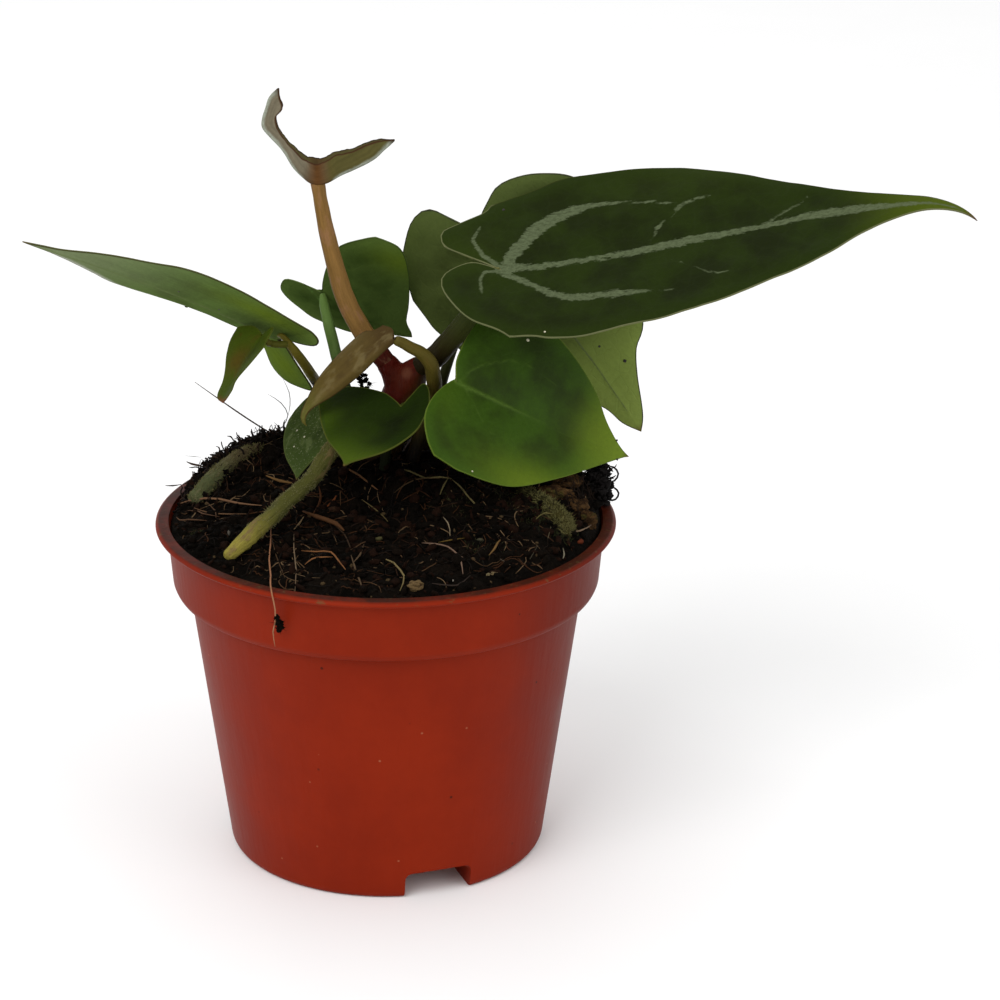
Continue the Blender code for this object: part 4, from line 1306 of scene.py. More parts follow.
LARGE_VEINS = (
    ((0, 0, 1.45), (10, -1.5, 0.99), (23, -2, 0.92), (35.5, -2, 1.19), (46.5, -1, 1.39),
     (58.5, -0.5, 1.06), (69, 0, 0.79), (79, 1, 1.12), (86, 1, 1.45), (92.5, 1, 1.25), (104.5, 0, 0.73),
     (112, 0, 0.26), (120, 0, 0.07)),
    ((2.3, 0, 1.45), (3, 3.5, 1.6), (6.6, 6.9, 1.75), (10.2, 10.9, 2.05), (14.3, 13.6, 2),
     (19.6, 15.9, 1.6), (25, 16.5, 0.85), (32, 16, 0.5), (39, 15, 0.45), (47.5, 12, 0.4)),
    ((46, 10.5, 0.2), (48.5, 12, 0.46), (52, 13, 0.46), (55.5, 13.5, 0.2)),
    ((1, -2, 0.99), (7, -7, 0.73), (12.5, -12, 0.99), (18, -14.5, 1.19), (24.5, -15.5, 0.99),
     (28, -15.8, 1.19), (31, -16, 0.99), (36.5, -16.5, 0.4), (41, -17, 0.2), (46, -17.5, 0.1)),
    ((-0.5, 1.5, 0.59), (-4, 5.5, 0.53), (-6, 11, 0.46), (-3.5, 15, 0.26)),
    ((-1.5, -0.5, 0.53), (-4, 0, 0.33), (-5.5, -2.5, 0.4), (-5.5, -7, 0.4)),
    ((37.5, 0, 0.07), (40.5, 3, 0.2), (41.2, 5, 0.59), (42.8, 7, 0.33), (45, 8, 0), (48.5, 11.5, 0.07)),
    ((69, 1, 0.26), (74, 4, 0.33), (78, 6, 0.2), (80.5, 8.5, 0.13)),
    ((42, -6, 0), (47.5, -9, 0.07), (51, -12, 0.23), (55.5, -14.5, 0.3), (61.5, -14, 0.07)),
)
FRONT_VEINS = (
    ((0, 0, 0.5), (14, 0, 0.35), (27, -0.5, 0.1), (40, -1, -0.5)),
    ((1.3, 1, 0.1), (2.3, 4.5, 0.1), (5.8, 8, 0.15), (12.3, 12, 0.1), (19.3, 12.5, 0), (27.3, 10, -0.2)),
    ((2.8, -0.5, 0.1), (7.3, -5, 0), (12.3, -9.5, -0.1), (21.3, -10.5, -0.2), (33.3, -8.5, -0.4)),
)

BLADES = (
    Blade("leaf_large_veined", "leaf_velvet_dark", VELVET, VELVET_BACK, (29.2, 8, 154.9), 1.5, 10.0, 30.0,
          124.0, (28, 27), (17, 16), (2, 2), bend=-7.5, sway=-8.5, twist=-4.0, tip_bend=19.0,
          tip_sway=-49.0, thickness=0.8, outlines=(LARGE_UPPER, LARGE_LOWER), veins=LARGE_VEINS,
          glows=((55, 22, 30, 8, 0.3), (-8, 8, 9, 9, 0.35)),
          crumbs=((3, 20, 0.4, 0, Side.TOP), (9.3, -24.5, 0.28, 0.9, Side.TOP)), wave=0.45, seed=1.3),
    Blade("leaf_back_broad", "leaf_underside", BROAD_TOP, BROAD_BACK, (27.7, 42, 152.7), 4.5, -49.0,
          -77.0, 67.0, (29, 28.5), (18, 11.5), (0, -1), bend=8.0, sway=7.0, twist=1.0, seed=2.1,
          outlines=(BROAD_LEFT, BROAD_RIGHT), glows=((-9, 20, 9, 9, 0.25),),
          veins=(((0, 0, 0.4), (30, 0, 0.3), (60, 0, 0.1)),),
          crumbs=((40.5, -4, 0.35, 0, Side.BACK), (47.5, -7.5, 0.5, 0, Side.BACK))),
    Blade("leaf_front_heart", "leaf_bright", BRIGHT_TOP, BRIGHT_BACK, (18, 3, 126.1), 7.0, -29.0, 49.5,
          53.0, (28.5, 24.5), (1.8, 4.7), (10, 8.5), bend=8.0, sway=10.5, twist=9.0, veins=FRONT_VEINS,
          seed=3.7, outlines=(FRONT_UPPER, FRONT_LOWER),
          glows=((30, -20, 15, 7, 0.9), (43, 3, 8, 8, 0.5), (-1, -6, 5, 8, 0.1)),
          crumbs=((14.3, 18.5, 0.4, 1, Side.TOP), (10.3, -22.5, 0.25, 1, Side.TOP),
                  (48, 3, 0.3, 0, Side.TOP), (49.5, -2, 0.3, 0, Side.TOP))),
    Blade("leaf_left_long", "leaf_olive", LONG_TOP, LONG_BACK, (-29.1, 24, 130.7), 207.5, 31.5, 23.5,
          78.0, (18.5, 22.5), (7.5, 21), (4, 13), bend=8.0, sway=-4.0, twist=11.0, lobe_lift=-26.0,
          outlines=(LONG_UPPER, LONG_LOWER), seed=4.4,
          glows=((11, 11, 14, 4.5, 0.95), (-10, -10, 10, 10, 0.95)),
          veins=(((0, 0, 0.5), (40, 0, 0.3), (74, 0, 0.1)),),
          crumbs=((22, -13, 0.45, 0, Side.BACK), (33.5, 2.5, 0.3, 0.1, Side.BACK),
                  (20.5, 2, 0.3, 0.1, Side.BACK))),
    Blade("leaf_middle_heart", "leaf_mid_green", MIDDLE_TOP, MIDDLE_BACK, (-18.3, 44, 137.1), 6.5, -34.0,
          -50.0, 28.5, (18.5, 27.5), (9, 4), (15, 8), bend=-14.5, sway=3.0, twist=-11.0, seed=5.2,
          outlines=(MIDDLE_LEFT, MIDDLE_RIGHT), glows=((11, -23.5, 9, 5, 0.9),),
          veins=(((-5, 1, 0.3), (0, 3.5, 0.4), (6, 7.5, 0.2)),)),
    Blade("leaf_low_heart", "leaf_dark_green", LOW_TOP, LOW_BACK, (3.9, 2, 119.6), 239.0, -23.5, 3.5,
          29.0, (10.5, 21.5), (8, 4), (4, 6), bend=-17.0, sway=3.0, twist=1.0, seed=6.9,
          outlines=(LOW_RIGHT, LOW_LEFT), glows=((13, -18, 9, 5, 0.8), (20, -6, 9, 8, 0.4)),
          veins=(((7.5, -20, 0.2), (13.5, -15.5, 0.3), (19, -11.5, 0.3), (25, -4.5, 0.2)),)),
    Blade("leaf_low_back", "leaf_grey_green", GREY_TOP, GREY_TOP, (-15.7, 20, 111.4), 236.0, -39.0, 21.0,
          22.0, (8, 13.5), (4, 6.5), (-4, 7), sway=13.0, seed=7.1,
          crumbs=((8, -4, 0.3, 0.9, Side.TOP), (11, -6, 0.25, 0.9, Side.TOP),
                  (6, -8, 0.3, 0.8, Side.TOP))),
    Blade("leaf_small_curled", "leaf_aged_olive", AGED_TOP, AGED_TOP, (-32.5, 11, 135.3), 224.0, -42.5,
          15.5, 20.5, (8, 10), (3, 2), (15, 20), bend=6.0, sway=6.0, twist=7.5, outlines=(NOTCHED, BLUNT),
          seed=8.3, tip_share=0.08, glows=((8, -3, 4, 3, 0.6),)),
    Blade("leaf_rolled_brown", "leaf_young_brown", YOUNG_TOP, YOUNG_TOP, (2, 4, 137.3), 193.5, -36.5,
          -62.0, 33.5, (2.6, 11), (1.2, 1.2), (-25, -18), bend=7.0, sway=3.5, twist=9.5, curl=-47.0,
          tip_bend=45.0, tip_sway=85.0, outlines=(ROLLED_EDGE, ROLLED), seed=9.5, tip_share=0.12,
          glows=((1, -3, 5, 7, 0.7),)),
)


@dataclass(frozen=True)
class Channel:
    """The young leaf still opening: one long channel of two arms, whose keel dips to the stalk's top.

    Each station holds the keel, the front edge and the way from the front edge back to the other.
    """

    stations: tuple = (
        ((-29.4, 42.7, 193.2), (-29.2, 42.7, 193.3), 0.4),
        ((-31.4, 41, 191.1), (-28.8, 41, 190.6), 1.6),
        ((-32.2, 39, 188.9), (-28, 39, 189), 2.2),
        ((-32.9, 36.8, 186.8), (-29.6, 37.2, 187), 2.4),
        ((-32.9, 34.5, 185.2), (-29.3, 35, 185.2), 2.4),
        ((-30.3, 31.5, 182.9), (-28, 32, 183.7), 2.2),
        ((-27.2, 28.5, 180.4), (-26.1, 29, 182.3), 2.4),
        ((-24.2, 25.6, 176.5), (-22.9, 26.4, 179.7), 3.4),
        ((-22, 24.2, 174.7), (-21.2, 25.2, 178.7), 4.2),
        ((-19.7, 22.8, 173.4), (-19.9, 24.4, 178.4), 5),
        ((-18.1, 22.5, 173.1), (-18.4, 25, 177.8), 5.4),
        ((-16.3, 22.9, 173.4), (-16.6, 25, 178.3), 5),
        ((-12.6, 25, 174.9), (-14.3, 26, 179.7), 4),
        ((-8.1, 27.8, 176.3), (-10.3, 28.4, 180), 3.2),
        ((-3.5, 30.8, 178.2), (-5.9, 31.2, 181.4), 2.4),
        ((-1.3, 32.8, 179.9), (-2.1, 33, 182.1), 1.6),
        ((1.3, 34.5, 181.7), (1.4, 34.5, 181.9), 0.4),
    )
    fork: int = 10
    thickness: float = 0.7
    steps: int = 6
    columns: int = 24
    keel_width: float = 1.2
    fork_reach: float = 2.8
    tip_reach: float = 2.5

    def build(self) -> bpy.types.Object:
        """Build the leaf in the place of its CAD node.

        Returns:
            The piece, with its inner and outer skins.
        """
        bottoms, fronts, depths = zip(*self.stations)
        keels = smooth_path(bottoms, depths, self.steps)
        edges = smooth_path(fronts, (1.0,) * len(fronts), self.steps)
        points, spots, rims = [], [], []
        travelled = [0.0]
        for near, far in zip(keels, keels[1:]):
            travelled.append(travelled[-1] + (far[0] - near[0]).length)
        for (keel, deep), (edge, _), along in zip(keels, edges, travelled):
            crest = edge + Vector((0.0, deep / 2.0, 0.0))
            wide = (edge - keel).length + deep * 0.5
            for column in range(self.columns + 1):
                share = 2.0 * column / self.columns - 1.0
                place = keel.lerp(crest, abs(share) ** 1.5) + Vector((0.0, deep * share / 2.0, 0.0))
                ripple = noise.noise(Vector((along / 3.0, share * 2.0, 4.0))) * 0.30
                ripple += noise.noise(Vector((along / 1.1, share * 3.0, 9.0))) * 0.12
                points.append(place + Vector((0.0, ripple * 0.8, ripple * abs(share))))
                spots.append((along, wide * share, 0.0))
                rims.append(wide * (1.0 - abs(share)))
        triangles = []
        across = self.columns + 1
        for row in range(len(keels) - 1):
            for column in range(self.columns):
                here = row * across + column
                triangles += [(here, here + across, here + across + 1), (here, here + across + 1, here + 1)]
        shape = Shape()
        places = np.array([tuple(point) for point in points])
        normals = sheet_normals(places, np.array(triangles))
        half = margin_taper(np.array(rims), self.thickness)[:, None]
        close_sheet(shape, places + normals * half, places - normals * half, triangles, spots,
                    self.marks(np.array(spots), np.array(rims), travelled))
        skins = [CHANNEL_TOP.material(), CHANNEL_BACK.material()]
        return shape.make("leaf_top_unfurling_skin", skins, "leaf_unfurling_tan", "leaf_top_unfurling",
                          sharp=50.0)

    def marks(self, flat: np.ndarray, rims: np.ndarray, travelled: list[float]) -> dict:
        """Pale keel, margin, rusty fork and dark tips of the channel.

        Args:
            flat: Flat places, one for each point.
            rims: Distances to the margin.
            travelled: Travelled length at each row.

        Returns:
            Numbers for the points, by mark.
        """
        fork = travelled[self.fork * self.steps]
        near = np.exp(-((flat[:, 0] - fork) / self.fork_reach) ** 2)
        ends = np.minimum(flat[:, 0], travelled[-1] - flat[:, 0])
        return {"vein": np.abs(flat[:, 1]) - self.keel_width + 5.0 * near, "breadth": np.ones(len(flat)),
                "rim": rims, "glow": near, "tip": np.clip(1.0 - ends / self.tip_reach, 0.0, 1.0)}


@dataclass(frozen=True)
class StemFinish:
    """Skin of a stalk, root or stem: a colour at the foot, one at the head, stripes and flecks."""

    name: str
    foot: str
    head: str
    fleck: str
    stripes: float = 0.15
    flecks: float = 0.3
    fleck_size: float = 0.5
    roughness: float = 0.45
    gloss: float = 0.05
    rough_skin: float = 0.08
    turn_at: float = 0.5
    turn_over: float = 0.5

    def material(self) -> bpy.types.Material:
        """Build the skin, or return the one already built.

        Returns:
            The material.
        """
        found = bpy.data.materials.get(self.name)
        if found is not None:
            return found
        g = Graph(self.name)
        along = g.mark("along")
        low, high = self.turn_at - self.turn_over / 2.0, self.turn_at + self.turn_over / 2.0
        colour = g.mix(g.band(along, low, high), tone(self.foot), tone(self.head))
        lines = g.noise(g.spot((0.07, 1.0, 1.0)), 1.6, 4.0, 0.6)
        colour = g.shade(colour, lines, 1.0 - self.stripes * 2.0, 1.0 + self.stripes * 2.0)
        cloud = g.noise(g.spot((0.4, 1.0, 1.0)), self.fleck_size, 4.0, 0.65)
        colour = g.tint(g.band(cloud, 0.52, 0.68, 0.0, self.flecks), colour, self.fleck)
        fine = g.noise(g.spot(), 2.2, 3.0)
        colour = g.shade(colour, fine, 0.86, 1.14)
        height = g.plus(g.times(lines, 1.0), g.times(fine, 0.4))
        return g.finish(colour, g.band(fine, 0.2, 0.8, self.roughness - 0.05, self.roughness + 0.1),
                        g.bump(height, self.rough_skin * 3.0), Specular_IOR_Level=self.gloss)


DARK_STALK = StemFinish(
    "stalk_dark", "231c0c", "2c3412", "383c17", stripes=0.1, flecks=0.25, roughness=0.42,
)
GREEN_STALK = StemFinish(
    "stalk_green_skin", "14170a", "546c34", "6c7e4a", stripes=0.06, flecks=0.2, turn_at=0.62,
    turn_over=0.4,
)
SHADED_STALK = StemFinish("stalk_shaded_skin", "12140a", "1c210e", "242812", stripes=0.06, flecks=0.2)
OLIVE_STALK = StemFinish("stalk_olive_skin", "594019", "5e561c", "593c1a", stripes=0.1, flecks=0.35)
STUB_STALK = StemFinish("stalk_stub_skin", "4c4c1a", "4a4a18", "54481c", stripes=0.1, flecks=0.35)
ARC_STALK = StemFinish(
    "stalk_arc_skin", "120d08", "4c4319", "57401b", stripes=0.08, flecks=0.3, turn_at=0.42,
    turn_over=0.25,
)
TAN_STALK = StemFinish(
    "stalk_tan_skin", "44170f", "72552c", "8a644a", stripes=0.24, flecks=0.45, fleck_size=0.35,
    turn_at=0.13, turn_over=0.12,
)


@dataclass(frozen=True)
class Stalk:
    """One leaf stalk, from the soil or the stem to the underside of its blade."""

    name: str
    blade: str
    slot: str
    skin: StemFinish
    points: tuple
    radii: tuple
    end_radius: float = 0.0
    seed: float = 1.0

    def tube(self) -> Tube:
        """The stalk's own stations and those that bring it to its blade.

        Returns:
            The whole stalk.
        """
        points = list(self.points)
        radii = list(self.radii)
        if self.end_radius > 0.0:
            blade = next(item for item in BLADES if item.name == self.blade)
            junction = Vector(blade.junction)
            way = blade.pose().col[2]
            surface = blade.thickness / 2.0 + 0.3
            points.append(tuple(junction - way * (surface + self.end_radius * 2.2)))
            radii.append(self.end_radius * 1.1)
            points.append(tuple(junction - way * (surface + self.end_radius * 0.8)))
            radii.append(self.end_radius)
            points.append(tuple(junction - way * self.end_radius * 0.4))
            radii.append(self.end_radius * 0.9)
        return Tube(tuple(points), tuple(radii), sides=20, steps=7, uneven=0.06, seed=self.seed)

    def build(self) -> bpy.types.Object:
        """Build the stalk in the place of its CAD node.

        Returns:
            The piece.
        """
        shape = Shape()
        self.tube().fill(shape)
        return shape.make(self.name + "_skin", [self.skin.material()], self.slot, self.name)


STALKS = (
    Stalk("stalk_large_veined", "leaf_large_veined", "stalk_dark_olive", DARK_STALK,
          ((7.9, 17.8, 125), (12, 14.2, 128.8), (16.2, 10.4, 134.7), (20.4, 7.5, 141.2),
           (24.4, 6.2, 147.6), (27, 7.5, 150.3), (28.7, 8.8, 152.1), (29.4, 8.9, 153.6)),
          (2.6, 3, 2.9, 2.6, 2.3, 2, 1.6, 1.3), seed=1.0),
    Stalk("stalk_top_unfurling", "leaf_top_unfurling", "stalk_tan", TAN_STALK,
          ((-0.6, 20, 125.7), (-3.5, 20.5, 129.3), (-6.9, 20.5, 134.3), (-10.7, 20.5, 141.7),
           (-14, 21, 152.6), (-16.4, 22.5, 162.7), (-17.7, 23.5, 169.6), (-18.2, 24, 173)),
          (2.7, 2.8, 2.7, 2.6, 2.3, 2, 1.8, 1.9), seed=2.0),
    Stalk("stalk_back_broad", "leaf_back_broad", "stalk_dark_olive", DARK_STALK,
          ((9, 26, 86), (10, 25.5, 98), (12, 25, 108), (14, 26, 118), (16.6, 28.5, 126.1),
           (20.2, 32, 134.6), (24.2, 35.5, 144.5)), (1.7, 1.7, 1.6, 1.4, 1.3, 1.2, 1.1), 1.0, seed=3.0),
    Stalk("stalk_front_heart", "leaf_front_heart", "stalk_green", GREEN_STALK,
          ((15, 17, 86), (15, 17, 98), (16.6, 14.5, 108), (18, 10.5, 117)), (1.5, 1.5, 1.4, 1.2), 1.0,
          seed=4.0),
    Stalk("stalk_left_long", "leaf_left_long", "stalk_yellow_olive", OLIVE_STALK,
          ((-15, 40, 86), (-15, 40, 98), (-16.3, 37.5, 107), (-19.8, 32, 116.1), (-21.1, 25.2, 121.2),
           (-22.9, 20.6, 126), (-24.6, 18.9, 129.1), (-26.2, 19.2, 131.1), (-27.4, 19, 132.7),
           (-28.6, 21.5, 132.4)), (1.5, 1.5, 1.4, 1.4, 1.4, 1.3, 1.2, 1, 0.8, 0.7), seed=5.0),
    Stalk("stalk_middle_heart", "leaf_middle_heart", "stalk_green", GREEN_STALK,
          ((-7, 31, 86), (-7, 31, 98), (-9.5, 31, 108), (-12.5, 32.5, 116.3), (-14.6, 34.5, 123.6),
           (-16.4, 36.5, 130.6), (-17.8, 40.6, 134.8), (-18.2, 43.2, 136.4)),
          (1.3, 1.4, 1.4, 1.5, 1.55, 1.5, 1.3, 0.9), seed=6.0),
    Stalk("stalk_low_heart", "leaf_low_heart", "stalk_green", SHADED_STALK,
          ((-1, 9, 86), (-1, 9, 98), (0.5, 8, 108)), (1.4, 1.4, 1.3), 0.9, seed=7.0),
    Stalk("stalk_low_back", "leaf_low_back", "stalk_green", SHADED_STALK,
          ((-12, 24, 86), (-12, 24, 98), (-12.6, 23.6, 102)), (1.2, 1.2, 1.1), 0.8, seed=8.0),
    Stalk("stalk_small_curled", "leaf_small_curled", "stalk_yellow_olive", STUB_STALK,
          ((-26.6, 16.2, 131.6), (-28.6, 14.8, 132), (-30.6, 13.6, 132.7)), (0.9, 0.9, 0.9), 0.8,
          seed=9.0),
    Stalk("stalk_rolled_brown", "leaf_rolled_brown", "stalk_yellow_olive", ARC_STALK,
          ((6, 12.5, 86), (6, 12.5, 98), (8.8, 13.6, 109), (11.8, 13.6, 117.5), (12.1, 8.8, 126),
           (11.3, 6.6, 130.1), (8.8, 5.4, 133.3), (6.1, 4.9, 134.9), (4.3, 4.7, 136), (2.8, 4.2, 136.8)),
          (1.6, 1.8, 1.9, 2, 2, 1.9, 1.7, 1.55, 1.45, 1.3), seed=10.0),
)


@dataclass(frozen=True)
class Root:
    """One aerial root with its fuzz of fine hairs."""

    name: str
    slot: str
    skin: StemFinish
    points: tuple
    radii: tuple
    hairs: int
    hair_span: Spot
    hair_length: float
    hair_tone: str
    moss: float = 0.0
    seed: int = 1

    def build(self) -> bpy.types.Object:
        """Build the root with its hairs in the place of its CAD node.

        Returns:
            The piece.
        """
        shape = Shape()
        stem = Tube(self.points, self.radii, sides=26, steps=9, uneven=0.16, grain=3.0, seed=self.seed)
        stem.fill(shape, kind=0.0)
        dice = Dice(self.seed * 31)
        for _ in range(self.hairs):
            share = dice.between(*self.hair_span)
            foot, outward = stem.surface(share, dice.between(0.0, TURN))
            clump = 0.5 + noise.noise(foot / 1.8)
            if dice.between(0.0, 1.0) > clump + 0.25:
                continue
            way = (outward + dice.way() * 0.7).normalized()
            length = self.hair_length * dice.between(0.35, 1.0) * (0.5 + clump)
            add_hair(shape, foot, way, length, dice.between(0.05, 0.10) * (1.0 + self.moss), dice.way(),
                     slot=1, along=share, kind=dice.between(0.0, 1.0))
        skins = [self.skin.material(), FuzzFinish(self.name + "_fuzz", self.hair_tone, self.moss).material()]
        return shape.make(self.name + "_skin", skins, self.slot, self.name)


@dataclass(frozen=True)
class FuzzFinish:
    """Skin of fine hairs or moss leaves; each hair differs a little."""

    name: str
    base: str
    moss: float = 0.0
    green: str = "2c3314"

    def material(self) -> bpy.types.Material:
        """Build the skin.

        Returns:
            The material.
        """
        g = Graph(self.name)
        colour = g.mix(g.times(g.mark("kind"), self.moss), tone(self.base), tone(self.green))
        cloud = g.noise(g.room(), 0.8, 3.0)
        colour = g.shade(colour, cloud, 0.55, 1.45)
        return g.finish(colour, 0.85, Specular_IOR_Level=0.1)


FRONT_ROOT_SKIN = StemFinish(
    "root_live_skin", "4a4a22", "8a8038", "6e5a3c", stripes=0.06, flecks=0.85, fleck_size=0.35,
    roughness=0.6, rough_skin=0.3, turn_at=0.84, turn_over=0.3,
)
LEFT_ROOT_SKIN = StemFinish(
    "root_grey_skin", "544832", "4e5234", "6e684c", stripes=0.05, flecks=0.75, fleck_size=0.5,
    roughness=0.75, rough_skin=0.4,
)
MOSSY_ROOT_SKIN = StemFinish(
    "root_mossy_skin", "262411", "383418", "4a4630", stripes=0.05, flecks=0.6, roughness=0.85,
    rough_skin=0.4,
)

ROOTS = (
    Root("root_front", "root_live", FRONT_ROOT_SKIN,
         ((-3, 19, 105.5), (-8.5, 11, 108.3), (-13.9, 1, 108.4), (-16, -1.5, 106), (-18.7, -5, 102.5),
          (-21.3, -9, 101.1), (-24.9, -14, 99.5), (-28.1, -20, 97.8), (-32.2, -25, 95.7),
          (-35, -29, 93.9), (-38.6, -33.2, 91.9)), (2, 2, 2.15, 2.3, 2.05, 2, 2.15, 2.1, 2.35, 2.1, 1.6),
         2100, (0.08, 0.8), 0.7, "6f6c46", seed=1),
    Root("root_left", "root_grey", LEFT_ROOT_SKIN,
         ((-34.5, 29, 98.4), (-39.6, 22, 98.2), (-45.6, 13, 95.5), (-50, 5, 92.5)), (1.3, 1.9, 2.3, 2.3),
         2400, (0.05, 0.98), 0.7, "625c3a", moss=0.4, seed=2),
    Root("root_right_mossy", "root_mossy", MOSSY_ROOT_SKIN,
         ((35, 2, 97), (41.3, -7, 95.8), (45.3, -14, 94.2), (47, -19, 92.6)), (1.8, 2.4, 2.9, 2), 3200,
         (0.03, 0.98), 1.2, "66603a", moss=0.5, seed=3),
)


@dataclass(frozen=True)
class CrownFinish:
    """Dark red skin of the stem base, with painted highlights on its knob and a brown side."""

    foot: str = "1c0b05"
    red: str = "4a0f06"
    brown: str = "33240e"
    stain: str = "3c1a0c"
    red_span: Spot = (108, 121)
    brown_span: Spot = (4, 7.5)
    brown_level: float = 120.0
    # Place, reach, strength and tone of each painted highlight
    painted_highlights: tuple = (((3.6, 14.5, 122.6), 6, 0.7, "562414"), ((4.8, 14.8, 124.4), 2.4, 0.6, "6e422e"))

    def material(self) -> bpy.types.Material:
        """Build the skin.

        Returns:
            The material.
        """
        g = Graph("crown_red_skin")
        lines = g.noise(g.room((1.0, 1.0, 0.12)), 1.3, 4.0, 0.6)
        cloud = g.noise(g.room(), 0.25, 3.0)
        height = g.part(g.room(), "Z")
        across = g.part(g.room(), "X")
        colour = g.mix(g.band(height, *self.red_span), tone(self.foot), tone(self.red))
        side = g.minus(across, g.times(g.minus(height, self.brown_level), 0.5))
        colour = g.tint(g.band(side, *self.brown_span, 0.0, 0.9), colour, self.brown)
        # Painted highlights: pale patches on the knob's upper left
        for centre, reach, strength, shade in self.painted_highlights:
            colour = g.tint(g.times(self.near(g, centre, reach), strength), colour, shade)
        colour = g.shade(colour, lines, 0.70, 1.30)
        colour = g.tint(g.band(cloud, 0.55, 0.75, 0.0, 0.4), colour, self.stain)
        bump = g.bump(g.plus(lines, g.times(cloud, 0.5)), 0.5)
        return g.finish(colour, g.band(lines, 0.2, 0.8, 0.34, 0.48), bump, Specular_IOR_Level=0.06)

    def near(self, g: Graph, centre: Place, reach: float) -> bpy.types.NodeSocket:
        """Share of one at a place, falling to zero at a reach away."""
        away = g.node("ShaderNodeVectorMath", {0: g.room(), 1: centre}, operation="DISTANCE").outputs["Value"]
        return g.band(away, reach, reach * 0.25)


@dataclass(frozen=True)
class Crown:
    """Red stem base with its left branch and right knob."""

    trunk: tuple = ((-3, 20, 84), (-2.5, 20, 98), (0, 20, 108), (3.2, 19.8, 117.5))
    trunk_radii: tuple = (5, 5.6, 5.2, 4.6)
    left: tuple = ((3.2, 19.8, 114), (2.6, 19.9, 119), (1.2, 20, 123), (-0.4, 20, 125.5))
    left_radii: tuple = (4, 3.6, 3.2, 2.9)
    knob: tuple = ((3.8, 19.6, 114), (5.4, 19, 119), (6.6, 18.4, 123), (8.2, 17.6, 125.4))
    knob_radii: tuple = (3.6, 4, 4.1, 3)
    grain: float = 0.35
    smoothing: int = 10
    fold_depth: float = 0.12

    def build(self) -> bpy.types.Object:
        """Build the crown as one skin grown over its three stems.

        Returns:
            The piece.
        """
        shape = Shape()
        stems = ((self.trunk, self.trunk_radii), (self.left, self.left_radii), (self.knob, self.knob_radii))
        for number, (points, radii) in enumerate(stems):
            Tube(points, radii, sides=32, steps=8, uneven=0.05, grain=5.0, seed=20.0 + number).fill(shape)
        draft = bpy.data.meshes.new("crown_draft")
        draft.from_pydata((np.array(shape.points) * MM).tolist(), [], shape.faces)
        mesh = grow_skin(draft, self.grain, self.smoothing)
        return settle("crown_skin", self.dress(mesh), "crown_red", "crown")

    def dress(self, mesh: bpy.types.Mesh) -> bpy.types.Mesh:
        """Give the mesh its skin and the folds round its joints.

        Args:
            mesh: The grown skin, in metres.

        Returns:
            The same mesh.
        """
        for vertex in mesh.vertices:
            place = vertex.co / MM
            fold = noise.noise(Vector((place.x / 6.0, place.y / 6.0, place.z / 1.4)))
            vertex.co += vertex.normal * (fold * self.fold_depth * MM)
        mesh.materials.append(CrownFinish().material())
        return mesh


def grow_skin(draft: bpy.types.Mesh, grain: float, smoothing: int) -> bpy.types.Mesh:
    """One closed skin over the closed bodies of a mesh.

    Args:
        draft: Mesh of bodies that overlap, in metres.
        grain: Size of its new faces in millimetres.
        smoothing: Rounds of smoothing.

    Returns:
        The new mesh.
    """
    helper = bpy.data.objects.new("draft", draft)
    bpy.context.scene.collection.objects.link(helper)
    skin = helper.modifiers.new("skin", "REMESH")
    skin.mode = "VOXEL"
    skin.voxel_size = grain * MM
    soft = helper.modifiers.new("soft", "SMOOTH")
    soft.iterations = smoothing
    soft.factor = 0.5
    made = bpy.data.meshes.new_from_object(helper.evaluated_get(bpy.context.evaluated_depsgraph_get()))
    bpy.data.objects.remove(helper, do_unlink=True)
    return made


